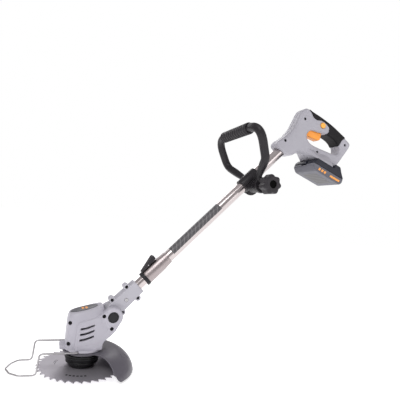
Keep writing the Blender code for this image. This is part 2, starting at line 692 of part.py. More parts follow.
def saw_blade():
    pitch = 2 * math.pi / BLADE_TEETH
    outline = []
    for k in range(BLADE_TEETH):
        base = k * pitch
        outline += [(BLADE_ROOT_R, base), (BLADE_TIP_R - 0.4, base + 0.52 * pitch),
                    (BLADE_TIP_R, base + 0.72 * pitch), (BLADE_ROOT_R - 0.6, base + 0.80 * pitch)]
    rings = [[(r * math.cos(a), r * math.sin(a), z) for r, a in outline]
             for z in (-BLADE_T / 2, BLADE_T / 2)]
    blade = cut(rings_to_mesh(rings, "blade"), rod(4.3, -5, 5, "bore", 20))
    finish(blade, "saw_blade", BLADE_STEEL, HEAD, "spindle_axis")
    cup = [(4.3, 1.0), (21.8, 1.0), (23.2, 5.6), (27.4, 7.8), (28.0, 8.6), (28.0, 14.6),
           (30.0, 16.0), (30.0, 21.4), (29.2, 22.2), (4.3, 22.2)]
    finish(lathe(cup, "cup", 24), "blade_holder", BLACK, HEAD, "spindle_axis")
    finish(ring(13.0, 4.3, -2.4, -0.95, "washer", 24), "blade_washer", STEEL, HEAD,
           "spindle_axis")
    head = rings_to_mesh([[(7.5 * math.cos(math.radians(60 * k)),
                            7.5 * math.sin(math.radians(60 * k)), z) for k in range(6)]
                          for z in (-BLADE_Z, -2.7)], "hex")
    bolt = join(head, rod(3.9, -4, 6.0, "shank", 16))
    finish(bolt, "blade_bolt", DARK_STEEL, HEAD, "spindle_axis")


def wire_guard():
    side = 33.4
    corners = [(-12, -26.5, 32.2), (-12, -side, 32.2), (-71.5, -side, 32.2),
               (-73.0, -side, -1.5), (-98.0, -33.0, -1.5), (-113.5, -20, -1.5),
               (-120.5, -1.0, -1.5), (-114, 19.0, -1.5), (-104, 33.0, -1.5),
               (-81.5, side, -1.5), (-80.0, side, 32.2), (-12, side, 32.2), (-12, 26.5, 32.2)]
    radii = [0, 2.2, 7, 6, 14, 12, 12, 12, 12, 6, 7, 2.2, 0]
    path = rounded_path(corners, radii, 3)
    finish(sweep(path, 1.5, "wire", 6), "wire_guard", WIRE, HEAD, "wire_axis", 50)


# ---------------------------------------------------------------- side handle and clamp
LOOP_BAR_R = 8.7
LOOP_ROOT_R = 6.0
LOOP_TOP = (38.5, 111.5)     # the top bar's place along and above the bolt
DISC_R = 16.5


def loop_corners():
    """The side handle's route about its bolt: along, side, up."""
    return [(2.0, -27.0, 9.0), (6.0, -31.0, 21.0), (17.0, -74.0, 50.0),
            (LOOP_TOP[0], -95.0, LOOP_TOP[1]), (LOOP_TOP[0], 91.0, LOOP_TOP[1]),
            (17.0, 94.0, 49.0), (6.0, 31.0, 16.0), (2.0, 27.0, 9.0)]


def side_handle():
    path = rounded_path(loop_corners(), [0, 9, 24, 27, 34, 26, 9, 0], 4)
    last = len(path) - 1
    radii = [LOOP_ROOT_R + (LOOP_BAR_R - LOOP_ROOT_R) * min(1.0, min(k, last - k) / 6)
             for k in range(last + 1)]
    loop = sweep(path, radii, "loop", 8)
    for side in (-1, 1):
        low, high = sorted((side * 21.6, side * 31.0))
        loop = join(loop, turned(rod(DISC_R, low, high, "disc", 18), "Y"))
        loop = cut(loop, turned(rod(3.7, min(side * 20, side * 40), max(side * 20, side * 40),
                                    "bolt_hole", 14), "Y"))
    finish(loop, "side_handle", BLACK, CLAMP, "side_handle_axis")
    top = Vector((LOOP_TOP[0], 2, LOOP_TOP[1]))
    length, count = 111.0, 13
    pitch = length / count
    profile = [(9.4, -length / 2)]
    for k in range(count):
        start = -length / 2 + pitch * k
        profile += [(10.0, start + 0.1 * pitch), (11.8, start + 0.35 * pitch),
                    (11.8, start + 0.75 * pitch)]
    profile += [(9.4, length / 2)]
    sleeve = turned(lathe(profile, "sleeve", 10), "Y", top)
    finish(sleeve, "side_grip_sleeve", RUBBER, CLAMP, "side_handle_axis")


def clamp():
    low, high = -26.0, 19.0
    upper = lathe([(OUTER_R + GAP, low), (14.6, low), (14.6, high), (OUTER_R + GAP, high)],
                  "upper", 12, -87, 174)
    upper.data.transform(Matrix.Rotation(math.radians(90), 4, "Y"))
    upper.data.transform(Matrix.Rotation(math.radians(180), 4, "X"))
    finish(upper, "clamp_upper", BLACK, SHAFT @ Matrix.Translation((BOLT_ALONG, 0, 0)),
           "clamp_rail")
    lower = turned(rod(15.0, low, high, "lower", 22), "X")
    boss = turned(rod(14.5, -21.2, 21.2, "boss", 18), "Y", (0, 0, BOLT_BELOW))
    web = box((-13, -12, -20), (13, 12, -6), "web")
    lower = join(lower, boss, web)
    lower = cut(lower, box((-60, -40, -0.5), (60, 40, 40), "top"),
                turned(rod(OUTER_R + GAP, -60, 60, "bore", 22), "X"),
                turned(rod(3.5, -40, 40, "bolt", 14), "Y", (0, 0, BOLT_BELOW)))
    finish(lower, "clamp_lower", BLACK, SHAFT @ Matrix.Translation((BOLT_ALONG, 0, 0)),
           "clamp_rail")
    bolt = lathe([(0, -62), (3.2, -62), (3.2, 31.4), (5.6, 31.4), (5.6, 35), (0, 35)], "bolt", 14)
    finish(turned(bolt, "Y"), "clamp_bolt", STEEL, CLAMP, "clamp_rail")


def knob():
    lobes, count = 7, 42
    rings = []
    for y, reach in ((-45, 0.80), (-48, 1.0), (-64, 1.0), (-69, 0.93), (-71, 0.80)):
        points = []
        for k in range(count):
            turn = 2 * math.pi * k / count
            r = (18.3 + 2.2 * math.cos(lobes * turn)) * reach
            points.append((r * math.cos(turn), y, r * math.sin(turn)))
        rings.append(points)
    body = join(rings_to_mesh(rings, "knob"), turned(rod(7, -47, -31.4, "hub", 16), "Y"))
    body = cut(body, turned(rod(3.6, -63, -20, "bolt", 14), "Y"),
               turned(rod(8.0, -80, -67.5, "recess", 18), "Y"))
    finish(body, "clamp_knob", BLACK, CLAMP, "side_handle_axis")
    cap = turned(lathe([(0, -69.0), (7.0, -69.0), (7.6, -68.4), (7.6, -67.8), (0, -67.8)],
                       "cap", 20), "Y")
    finish(cap, "knob_cap", BLACK, CLAMP, "side_handle_axis")


# ---------------------------------------------------------------- battery
CASE_SPLIT = 15.0
BATTERY_HALF = 36.0


def battery():
    side_view = smooth_corner([(-36, 0), (36, 0), (41, 6), (41, 17), (31, 28), (24, 38),
                               (9.5, 38), (9.0, 28.5), (-40, 28.5), (-45.5, 19), (-45.5, 9)])
    half = BATTERY_HALF
    case = slab(side_view, [(-half, -2.2), (-half + 2.2, 0), (half - 2.2, 0), (half, -2.2)],
                "case")
    rail = box((-22, -13, 20), (12, 13, 31), "rail")
    case = join(case, rail)
    inside = [(-37, 2.0), (35, 2.0), (38, 6), (38, 16), (29, 26.5), (22.5, 36), (11.5, 36),
              (11.5, 26.5), (-38, 26.5), (-42.5, 18), (-42.5, 9)]
    case = cut(case, slab(inside, [(-half + 2.2, 0), (half - 2.2, 0)], "inside"))
    case = cut(case, box((-60, -9.3, 12), (-39, 9.3, 25.5), "latch_window"))
    top = copy_of(case)
    cut(case, box((-80, -60, CASE_SPLIT), (80, 60, 60), "above"))
    cut(top, box((-80, -60, -20), (80, 60, CASE_SPLIT + GAP), "below"))
    finish(case, "battery_case_bottom", BATTERY_GREY, BATTERY, "battery_rail")
    finish(top, "battery_case_top", BATTERY_PLASTIC, BATTERY, "battery_rail")
    cells = box((-29, -33.0, 10), (29, 33.0, 12), "strip")
    for along in (-28.0, -9.4, 9.4, 28.0):
        cells = join(cells, turned(rod(9.1, -32.5, 32.5, "cell", 12), "Y", (along, 0, 11.6)))
    finish(cells, "battery_cells", CELL_WRAP, BATTERY, "battery_rail")
    outline = [(-48.5, 14.5), (-45, 14.2), (-40.5, 14.2), (-40.5, 24.5), (-43.5, 24.5),
               (-48.5, 17.5)]
    latch = slab(outline, [(-9, -0.8), (-8, 0), (8, 0), (9, -0.8)], "latch")
    finish(latch, "battery_latch", BLACK, BATTERY, "battery_latch_rail")


def smooth_corner(points):
    """Ease each corner of an outline with one chamfer."""
    eased = []
    for k, here in enumerate(points):
        before = Vector(points[k - 1])
        after = Vector(points[(k + 1) % len(points)])
        corner = Vector(here)
        eased.append(tuple(corner.lerp(before, min(0.25, 1.6 / (before - corner).length))))
        eased.append(tuple(corner.lerp(after, min(0.25, 1.6 / (after - corner).length))))
    return eased


handle_shells()
grip_overmould()
trigger_parts()
shaft_tubes()
lock_rocker()
inner_tube()
arm_bracket()
motor_housing()
pivot_parts()
motor_inside()
guard()
saw_blade()
wire_guard()
side_handle()
clamp()
knob()
battery()
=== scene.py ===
"""Looks of the cordless lawn edger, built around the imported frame.

Shapes are drawn in millimetres in the same local frames as the CAD: the head's, the shaft's,
the side handle's bolt and the battery's, and are put in metres in the row frame at the end.
"""
import json
import math

import bmesh
import bpy
from mathutils import Matrix, Vector


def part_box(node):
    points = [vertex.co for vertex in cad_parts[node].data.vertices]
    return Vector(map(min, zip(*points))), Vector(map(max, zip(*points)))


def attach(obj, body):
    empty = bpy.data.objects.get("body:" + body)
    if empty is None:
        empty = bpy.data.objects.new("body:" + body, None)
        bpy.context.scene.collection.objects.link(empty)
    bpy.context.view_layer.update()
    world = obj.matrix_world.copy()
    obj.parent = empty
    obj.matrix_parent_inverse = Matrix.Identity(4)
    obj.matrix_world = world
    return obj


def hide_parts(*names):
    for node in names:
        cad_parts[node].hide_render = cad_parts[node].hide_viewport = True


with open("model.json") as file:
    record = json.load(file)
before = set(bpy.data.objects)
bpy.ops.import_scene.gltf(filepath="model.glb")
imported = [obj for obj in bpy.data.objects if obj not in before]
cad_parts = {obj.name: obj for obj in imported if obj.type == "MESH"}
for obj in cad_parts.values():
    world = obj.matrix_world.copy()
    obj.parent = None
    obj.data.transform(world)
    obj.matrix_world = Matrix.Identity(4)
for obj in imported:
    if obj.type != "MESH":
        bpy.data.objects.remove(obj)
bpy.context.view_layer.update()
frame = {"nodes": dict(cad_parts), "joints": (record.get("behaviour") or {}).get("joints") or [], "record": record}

MM = 0.001
HALF_GAP = 0.15              # half the gap between the halves of a casing
JOINTS = {j["name"]: j for j in frame["joints"]}
MOUNTS = {m["name"]: m for m in frame["record"]["mounts"]}


# ---------------------------------------------------------------- frames, from the record
def frame_at(place_m, along, up):
    """A frame in millimetres whose X is along, whose Z is up and whose origin is a record point."""
    x, z = Vector(along).normalized(), Vector(up).normalized()
    y = z.cross(x)
    turn = Matrix((x, y, z)).transposed().to_4x4()
    return Matrix.Translation(Vector(place_m) / MM) @ turn


def middle_z(node):
    low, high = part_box(node)
    return (low.z + high.z) / 2 / MM


TUBE_OFFSET = 4.2            # the tube's axis stands this far off the pivot's axis
SHAFT_DIR = -Vector(JOINTS["tube_extend"]["axis"])
SHAFT_UP = Vector((-SHAFT_DIR.z, 0, SHAFT_DIR.x))
BATTERY_DIR = Vector(JOINTS["battery_slide"]["axis"])
BLADE_Z = middle_z("saw_blade")
WORLD = Matrix.Identity(4)
HEAD = Matrix.Translation((0, 0, BLADE_Z))
PIVOT = frame_at(JOINTS["head_tilt"]["pos_m"], SHAFT_DIR, SHAFT_UP)
SHAFT = PIVOT @ Matrix.Translation((0, 0, TUBE_OFFSET))
CLAMP = frame_at(JOINTS["side_handle_tilt"]["pos_m"], SHAFT_DIR, SHAFT_UP)
BATTERY = frame_at(MOUNTS["battery_base"]["pos_m"], BATTERY_DIR,
                   -Vector(MOUNTS["battery_base"]["axis"]))
PIVOT_X = JOINTS["head_tilt"]["pos_m"][0] / MM
PIVOT_H = JOINTS["head_tilt"]["pos_m"][2] / MM - BLADE_Z


# ---------------------------------------------------------------- mesh helpers
def solid(bm, name):
    bmesh.ops.remove_doubles(bm, verts=bm.verts, dist=0.0005)
    bmesh.ops.recalc_face_normals(bm, faces=bm.faces)
    mesh = bpy.data.meshes.new(name)
    bm.to_mesh(mesh)
    bm.free()
    obj = bpy.data.objects.new(name, mesh)
    bpy.context.scene.collection.objects.link(obj)
    return obj


def skin(rings, name, closed=False):
    """Faces between equal rings of points; the ends are capped unless the rings close."""
    bm = bmesh.new()
    rows = [[bm.verts.new(p) for p in ring] for ring in rings]
    count = len(rows[0])
    pairs = list(zip(rows, rows[1:])) + ([(rows[-1], rows[0])] if closed else [])
    for low, high in pairs:
        for i in range(count):
            j = (i + 1) % count
            bm.faces.new((low[i], low[j], high[j], high[i]))
    if not closed:
        bm.faces.new(rows[0][::-1])
        bm.faces.new(rows[-1])
    return solid(bm, name)


def lathe(profile, name, sides=72, start=0.0, sweep=360.0):
    """Turn a closed (r, z) outline about Z; sweep under 360 makes a capped sector."""
    full = sweep >= 360.0
    steps = sides if full else sides + 1
    bm = bmesh.new()
    rows = []
    for k in range(steps):
        turn = math.radians(start + sweep * k / sides)
        rows.append([bm.verts.new((r * math.cos(turn), r * math.sin(turn), z))
                     for r, z in profile])
    for low, high in list(zip(rows, rows[1:])) + ([(rows[-1], rows[0])] if full else []):
        for i in range(len(profile)):
            j = (i + 1) % len(profile)
            if profile[i][0] > 0 or profile[j][0] > 0:
                bm.faces.new((low[i], low[j], high[j], high[i]))
    if not full:
        bm.faces.new(rows[0][::-1])
        bm.faces.new(rows[-1])
    bmesh.ops.remove_doubles(bm, verts=bm.verts, dist=0.0005)
    bmesh.ops.dissolve_degenerate(bm, edges=bm.edges, dist=0.0005)
    return solid(bm, name)


def eased(points, radius=0.4, steps=3):
    """Round each corner of a closed outline that turns by more than a little."""
    curve = []
    for k, here in enumerate(points):
        corner = Vector(here)
        before = Vector(points[k - 1]) - corner
        after = Vector(points[(k + 1) % len(points)]) - corner
        on_axis = corner.x == 0 and (points[k - 1][0] == 0 or points[(k + 1) % len(points)][0] == 0)
        if on_axis or before.angle(after) > math.radians(165):
            curve.append(tuple(corner))
            continue
        run = min(radius, 0.45 * before.length, 0.45 * after.length)
        first, last = corner + before.normalized() * run, corner + after.normalized() * run
        for s in range(steps + 1):
            t = s / steps
            curve.append(tuple(first * (1 - t) ** 2 + corner * 2 * t * (1 - t) + last * t * t))
    return curve


def rod(radius, low, high, name, sides=32, edge=0.0):
    outline = [(0, low), (radius, low), (radius, high), (0, high)]
    return lathe(eased(outline, edge) if edge else outline, name, sides)


def ring(outer, inner, low, high, name, sides=72, edge=0.3):
    outline = [(inner, low), (outer, low), (outer, high), (inner, high)]
    return lathe(eased(outline, edge) if edge else outline, name, sides)


def turned(obj, axis, at=(0, 0, 0)):
    """Lay a piece drawn along Z on another axis through a point."""
    turn = {"X": Matrix.Rotation(math.radians(90), 4, "Y"),
            "Y": Matrix.Rotation(math.radians(-90), 4, "X"),
            "Z": Matrix.Identity(4)}[axis]
    obj.data.transform(Matrix.Translation(at) @ turn)
    return obj


def box(low, high, name):
    return skin([[(low[0], low[1], z), (high[0], low[1], z), (high[0], high[1], z),
                  (low[0], high[1], z)] for z in (low[2], high[2])], name)


def offset_outline(points, distance):
    """Move each corner of a closed outline outwards along its bisector."""
    area = sum(a[0] * b[1] - b[0] * a[1] for a, b in zip(points, points[1:] + points[:1]))
    sign = 1.0 if area > 0 else -1.0
    moved = []
    for k, here in enumerate(points):
        before, after = points[k - 1], points[(k + 1) % len(points)]
        d1 = Vector((here[0] - before[0], here[1] - before[1])).normalized()
        d2 = Vector((after[0] - here[0], after[1] - here[1])).normalized()
        n1, n2 = Vector((d1.y, -d1.x)) * sign, Vector((d2.y, -d2.x)) * sign
        middle = (n1 + n2).normalized()
        reach = distance / max(middle.dot(n1), 0.5)
        moved.append((here[0] + middle.x * reach, here[1] + middle.y * reach))
    return moved


def spline(p0, p1, p2, p3, steps):
    """Catmull-Rom points from the second of four points towards the third."""
    return [0.5 * ((2 * p1) + (p2 - p0) * t + (2 * p0 - 5 * p1 + 4 * p2 - p3) * t * t
                   + (3 * p1 - p0 - 3 * p2 + p3) * t ** 3)
            for t in (s / steps for s in range(steps))]


def smooth_outline(points, steps):
    """A closed smooth curve through a few points."""
    count = len(points)
    return [tuple(p) for k in range(count)
            for p in spline(*(Vector(points[(k + j) % count]) for j in (-1, 0, 1, 2)), steps)]


def slab(outline, levels, name):
    """Skin an XZ outline through (y, offset) levels."""
    return skin([[(x, y, z) for x, z in offset_outline(outline, grow)] for y, grow in levels],
                name)


def quarter(start, end, radius, steps=5):
    """(y, offset) levels of a slab whose edge at the end is a quarter round."""
    way = 1 if end > start else -1
    return [(end - way * radius * (1 - math.sin(t)), -radius * (1 - math.cos(t)))
            for t in (math.radians(90) * k / steps for k in range(steps + 1))]


def rounded_slab(outline, low, high, radius, name, steps=5):
    """A slab with both edges rounded."""
    levels = quarter(high, low, radius, steps)[::-1] + quarter(low, high, radius, steps)
    return slab(outline, levels, name)


def arc(centre, radius, first, last, count):
    step = (last - first) / (count - 1)
    return [(centre[0] + radius * math.cos(math.radians(first + step * k)),
             centre[1] + radius * math.sin(math.radians(first + step * k)))
            for k in range(count)]


def hull(points, name):
    bm = bmesh.new()
    found = bmesh.ops.convex_hull(bm, input=[bm.verts.new(p) for p in points])
    spare = set(found["geom_interior"]) | set(found["geom_unused"])
    bmesh.ops.delete(bm, geom=[v for v in spare if isinstance(v, bmesh.types.BMVert)],
                     context="VERTS")
    return solid(bm, name)


def bar(path, radius, name, sides=24, section=None):
    """A bar along points, turned without twist; section(angle) scales its radius."""
    count = len(path)
    points = [Vector(p) for p in path]
    radii = radius if isinstance(radius, list) else [radius] * count
    tangents = [(points[min(k + 1, count - 1)] - points[max(k - 1, 0)]).normalized()
                for k in range(count)]
    side = tangents[0].orthogonal().normalized()
    rings = []
    for point, tangent, reach in zip(points, tangents, radii):
        side = (side - tangent * side.dot(tangent)).normalized()
        other = tangent.cross(side)
        ring_points = []
        for i in range(sides):
            a = 2 * math.pi * i / sides
            r = reach * (section(a) if section else 1.0)
            ring_points.append(point + (side * math.cos(a) + other * math.sin(a)) * r)
        rings.append(ring_points)
    return skin(rings, name)


def rounded_path(corners, radii, steps=10, run_step=6.0):
    """Straight runs between corners, each corner eased by a curve of about its radius."""
    path = [Vector(corners[0])]
    for k in range(1, len(corners) - 1):
        here = Vector(corners[k])
        back = (Vector(corners[k - 1]) - here).normalized()
        on = (Vector(corners[k + 1]) - here).normalized()
        run = radii[k] / math.tan(back.angle(on) / 2)
        first, last = here + back * run, here + on * run
        path += straight(path[-1], first, run_step)
        for s in range(1, steps + 1):
            t = s / steps
            path.append(first * (1 - t) ** 2 + here * 2 * t * (1 - t) + last * t * t)
    return path + straight(path[-1], Vector(corners[-1]), run_step)


def straight(first, last, step):
    count = max(1, round((last - first).length / step))
    return [first.lerp(last, k / count) for k in range(1, count + 1)]


def combine(base, tools, operation):
    for tool in tools:
        step = base.modifiers.new("cut", "BOOLEAN")
        step.operation = operation
        step.solver = "EXACT"
        step.object = tool
        bpy.context.view_layer.update()
        mesh = bpy.data.meshes.new_from_object(
            base.evaluated_get(bpy.context.evaluated_depsgraph_get()))
        base.modifiers.clear()
        base.data = mesh
        bpy.data.objects.remove(tool)
    return base


def cut(base, *tools):
    return combine(base, tools, "DIFFERENCE")


def join(base, *tools):
    return combine(base, tools, "UNION")


def joined(pieces):
    return join(pieces[0], *pieces[1:])


def halves(body, low, high):
    """Part a casing at its middle plane; low and high bound it. Gives (piece, side) pairs."""
    right = copy_of(body)
    cut(body, box((low[0], -HALF_GAP, low[2]), high, "half"))
    cut(right, box(low, (high[0], HALF_GAP, high[2]), "half"))
    return (body, "left"), (right, "right")


def common(base, tool):
    return combine(base, [tool], "INTERSECT")


def copy_of(obj):
    twin = obj.copy()
    twin.data = obj.data.copy()
    bpy.context.scene.collection.objects.link(twin)
    return twin


def moulded(obj, voxel, passes):
    """Turn a crisp solid into one with moulded edges: voxel remesh, then a little smoothing."""
    remesh = obj.modifiers.new("remesh", "REMESH")
    remesh.mode = "VOXEL"
    remesh.voxel_size = voxel
    ease = obj.modifiers.new("ease", "SMOOTH")
    ease.factor = 0.5
    ease.iterations = passes
    bpy.context.view_layer.update()
    mesh = bpy.data.meshes.new_from_object(
        obj.evaluated_get(bpy.context.evaluated_depsgraph_get()))
    obj.modifiers.clear()
    obj.data = mesh
    return obj


def place(obj, name, mat, local, body, nodes=(), smooth=32):
    """Bring a piece into the row frame in metres, and tie it to its body and its CAD nodes."""
    obj.data.transform(Matrix.Scale(MM, 4) @ local)
    obj.name = name
    obj.data.name = name
    obj.data.materials.clear()
    obj.data.materials.append(mat)
    obj.data.shade_smooth()
    if smooth:
        obj.data.set_sharp_from_angle(angle=math.radians(smooth))
    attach(obj, body)
    if nodes:
        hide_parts(*nodes)
    return obj


# ---------------------------------------------------------------- materials
class Nodes:
    """Short calls for building a material's node tree."""

    def __init__(self, name):
        self.mat = bpy.data.materials.new(name)
        self.mat.use_nodes = True
        self.tree = self.mat.node_tree
        self.shader = self.tree.nodes["Principled BSDF"]
        self.coords = self.tree.nodes.new("ShaderNodeTexCoord").outputs["Object"]

    def set(self, **values):
        for key, value in values.items():
            self.shader.inputs[key.replace("_", " ")].default_value = value
        return self

    def link(self, a, b):
        self.tree.links.new(a, b)

    def stretch(self, scale, turn=(0, 0, 0)):
        node = self.tree.nodes.new("ShaderNodeMapping")
        node.inputs["Scale"].default_value = scale
        node.inputs["Rotation"].default_value = turn
        self.link(self.coords, node.inputs["Vector"])
        return node.outputs["Vector"]

    def noise(self, scale, detail=3.0, vector=None, roughness=0.5):
        node = self.tree.nodes.new("ShaderNodeTexNoise")
        node.inputs["Scale"].default_value = scale
        node.inputs["Detail"].default_value = detail
        node.inputs["Roughness"].default_value = roughness
        self.link(vector if vector else self.coords, node.inputs["Vector"])
        return node.outputs["Fac"]

    def ramp(self, fac, low, high, start=0.3, end=0.7):
        """Colours or grey levels between two values of a factor."""
        node = self.tree.nodes.new("ShaderNodeValToRGB")
        first, last = node.color_ramp.elements
        first.position, last.position = start, end
        first.color = (*low, 1) if isinstance(low, tuple) else (low, low, low, 1)
        last.color = (*high, 1) if isinstance(high, tuple) else (high, high, high, 1)
        self.link(fac, node.inputs["Fac"])
        return node.outputs["Color"]

    def mix(self, fac, a, b, kind="MIX"):
        node = self.tree.nodes.new("ShaderNodeMix")
        node.data_type = "RGBA"
        node.blend_type = kind
        for value, socket in ((fac, node.inputs[0]), (a, node.inputs[6]), (b, node.inputs[7])):
            if isinstance(value, (int, float)):
                socket.default_value = value
            elif isinstance(value, tuple):
                socket.default_value = (*value, 1)
            else:
                self.link(value, socket)
        return node.outputs[2]

    def bump(self, height, strength, distance):
        node = self.tree.nodes.new("ShaderNodeBump")
        node.inputs["Strength"].default_value = strength
        node.inputs["Distance"].default_value = distance
        self.link(height, node.inputs["Height"])
        self.link(node.outputs["Normal"], self.shader.inputs["Normal"])

    def colour(self, socket):
        self.link(socket, self.shader.inputs["Base Color"])

    def rough(self, socket):
        self.link(socket, self.shader.inputs["Roughness"])


def shade(colour, factor):
    return tuple(min(1.0, c * factor) for c in colour)


def plastic(name, colour, roughness, grain=2600.0, bump=0.25, variation=0.05, coat=0.0,
            level=0.5):
    """Moulded plastic: spark-eroded grain, faint flow marks and rubbed, shinier patches."""
    m = Nodes(name).set(IOR=1.48)
    m.shader.inputs["Coat Weight"].default_value = coat
    m.shader.inputs["Specular IOR Level"].default_value = level
    flow = m.noise(14.0, 4.0)
    grains = m.noise(grain, 2.0)
    broad = m.ramp(flow, shade(colour, 1 - variation), shade(colour, 1 + variation))
    m.colour(m.mix(m.ramp(grains, 0.0, 0.25), broad, shade(colour, 0.86)))
    m.rough(m.ramp(m.noise(60.0, 5.0), roughness - 0.05, roughness + 0.08))
    m.bump(grains, bump, 0.00004)
    return m.mat


def rubber(name, colour, roughness):
    """Soft over-moulding: matt, finely pebbled, dusty in patches."""
    m = Nodes(name).set(IOR=1.5)
    m.shader.inputs["Specular IOR Level"].default_value = 0.22
    pebbles = m.tree.nodes.new("ShaderNodeTexVoronoi")
    pebbles.inputs["Scale"].default_value = 1100.0
    m.link(m.coords, pebbles.inputs["Vector"])
    dust = m.noise(45.0, 6.0, roughness=0.65)
    m.colour(m.ramp(dust, shade(colour, 0.8), shade(colour, 1.7), 0.35, 0.8))
    m.rough(m.ramp(dust, roughness - 0.06, roughness + 0.1))
    m.bump(pebbles.outputs["Distance"], 0.35, 0.00006)
    return m.mat


def tube_metal(name, colour, roughness, turn, streak=0.1):
    """Plated tube: drawing marks along its length and a few faint smudges."""
    m = Nodes(name).set(Metallic=1.0)
    along = m.stretch((12.0, 900.0, 900.0), turn)
    marks = m.noise(1.0, 5.0, along)
    smudge = m.noise(30.0, 4.0)
    m.colour(m.mix(m.ramp(smudge, 0.0, 0.5), m.ramp(marks, shade(colour, 0.93), colour),
                   shade(colour, 0.88)))
    m.rough(m.mix(0.35, m.ramp(smudge, roughness, roughness + 0.1),
                  m.ramp(marks, roughness, roughness + streak)))
    m.bump(marks, 0.05, 0.00003)
    return m.mat


def ground_disc(name, colour, roughness):
    """Blade steel, ground in rings about the spindle, with a faint patchy stain."""
    m = Nodes(name).set(Metallic=0.6, Anisotropic=0.3)
    radius = m.tree.nodes.new("ShaderNodeVectorMath")
    radius.operation = "LENGTH"
    flat = m.stretch((1.0, 1.0, 0.0))
    m.link(flat, radius.inputs[0])
    rings = m.tree.nodes.new("ShaderNodeTexNoise")
    rings.noise_dimensions = "1D"
    rings.inputs["Scale"].default_value = 2600.0
    rings.inputs["Detail"].default_value = 5.0
    m.link(radius.outputs["Value"], rings.inputs["W"])
    tangent = m.tree.nodes.new("ShaderNodeTangent")
    tangent.direction_type = "RADIAL"
    tangent.axis = "Z"
    m.link(tangent.outputs["Tangent"], m.shader.inputs["Tangent"])
    stain = m.noise(55.0, 5.0)
    base = m.ramp(rings.outputs["Fac"], shade(colour, 0.85), shade(colour, 1.06))
    m.colour(m.mix(m.ramp(stain, 0.0, 0.35, 0.5, 0.75), base, shade(colour, 0.8)))
    m.rough(m.ramp(rings.outputs["Fac"], roughness - 0.06, roughness + 0.12))
    m.bump(rings.outputs["Fac"], 0.15, 0.00003)
    return m.mat


def metal(name, colour, roughness, grain=700.0, worn=0.12):
    """Turned or plated small metal pieces: fine tool marks and dull patches."""
    m = Nodes(name).set(Metallic=1.0)
    marks = m.noise(grain, 4.0)
    patches = m.noise(90.0, 4.0)
    m.colour(m.mix(m.ramp(patches, 0.0, 0.6), m.ramp(marks, shade(colour, 0.88), colour),
                   shade(colour, 1 - worn)))
    m.rough(m.ramp(patches, roughness - 0.04, roughness + 0.12))
    m.bump(marks, 0.12, 0.00003)
    return m.mat


def printed(name, colour, roughness, stripe, stripe_scale, metallic=0.0):
    """A printed film: plain ink with faint parallel print lines."""
    m = Nodes(name).set(Metallic=metallic)
    lines = m.tree.nodes.new("ShaderNodeTexWave")
    lines.inputs["Scale"].default_value = stripe_scale
    lines.inputs["Distortion"].default_value = 0.6
    m.link(m.coords, lines.inputs["Vector"])
    speckle = m.noise(900.0, 3.0)
    base = m.ramp(lines.outputs["Fac"], colour, stripe, 0.75, 0.95)
    m.colour(m.mix(m.ramp(speckle, 0.0, 0.3), base, shade(colour, 0.8)))
    m.rough(m.ramp(speckle, roughness, roughness + 0.1))
    m.bump(speckle, 0.08, 0.00002)
    return m.mat


TUBE_TURN = (0, SHAFT_DIR.angle(Vector((1, 0, 0))), 0)
GREY = plastic("grey_abs", (0.475, 0.462, 0.52), 0.38)
HANDLE_GREY = plastic("handle_grey_abs", (0.40, 0.392, 0.435), 0.42)
BRACKET_GREY = plastic("bracket_grey_abs", (0.47, 0.462, 0.51), 0.4)
GUARD_GREY = plastic("guard_grey_abs", (0.105, 0.098, 0.118), 0.36, 1800.0, 0.3, 0.06)
COLLAR_GREY = plastic("neck_grey_abs", (0.19, 0.185, 0.205), 0.34)
CAP_BLACK = plastic("cap_black", (0.020, 0.020, 0.023), 0.42, level=0.25)
BAR_BLACK = plastic("bar_black", (0.018, 0.016, 0.019), 0.38, 2200.0, 0.3, 0.15, 0.0, 0.3)
GLOSS_BLACK = plastic("holder_black", (0.006, 0.006, 0.007), 0.28, 1500.0, 0.12, 0.1, 0.1, 0.3)
# Black of the knob's cap, darkened and made almost unreflective as painted shade of the recess it sits in.
CAP_BLACK_AND_RECESS_SHADE = plastic("knob_cap_black_and_painted_shade", (0.003, 0.003, 0.003), 0.7, 2000.0, 0.2, 0.1, 0.0, 0.05)
KNOB_BLACK = plastic("knob_black", (0.030, 0.027, 0.031), 0.46, 2000.0, 0.4, 0.1, 0.0, 0.25)
ORANGE = plastic("orange_abs", (0.95, 0.33, 0.02), 0.34, 2600.0, 0.15, 0.03, 0.2)
BUTTON_ORANGE = plastic("button_orange_abs", (1.0, 0.45, 0.05), 0.34, 2600.0, 0.15, 0.03, 0.2)
CASE_BLACK = plastic("case_blue_black", (0.016, 0.017, 0.027), 0.38, level=0.3)
CASE_GREY = plastic("case_blue_grey", (0.115, 0.115, 0.14), 0.42)
BADGE_GREY = plastic("badge_grey", (0.10, 0.10, 0.115), 0.4)
SOFT_BLACK = rubber("soft_black", (0.010, 0.009, 0.010), 0.58)
RIB_BLACK = rubber("rib_black", (0.030, 0.028, 0.031), 0.5)
CHROME = tube_metal("plated_tube", (0.60, 0.545, 0.54), 0.16, TUBE_TURN)
SATIN_TUBE = tube_metal("satin_collar", (0.42, 0.37, 0.37), 0.32, TUBE_TURN, 0.2)
BLADE_STEEL = ground_disc("ground_blade", (0.47, 0.45, 0.49), 0.42)
CARBIDE = metal("carbide_tip", (0.34, 0.33, 0.35), 0.3)
WIRE_STEEL = metal("zinc_wire", (0.50, 0.49, 0.50), 0.33)
STEEL = metal("turned_steel", (0.60, 0.59, 0.6), 0.28)
SCREW_BLACK = metal("blackened_screw", (0.02, 0.02, 0.022), 0.38)
BRASS = metal("lock_brass", (0.8, 0.58, 0.24), 0.3)
COPPER_CAN = metal("motor_can_steel", (0.5, 0.5, 0.52), 0.35)
LABEL_FILM = printed("label_film", (0.085, 0.082, 0.088), 0.4, (0.17, 0.165, 0.17), 45.0)
INK_BLACK = printed("blade_ink", (0.015, 0.014, 0.016), 0.5, (0.03, 0.03, 0.03), 200.0)
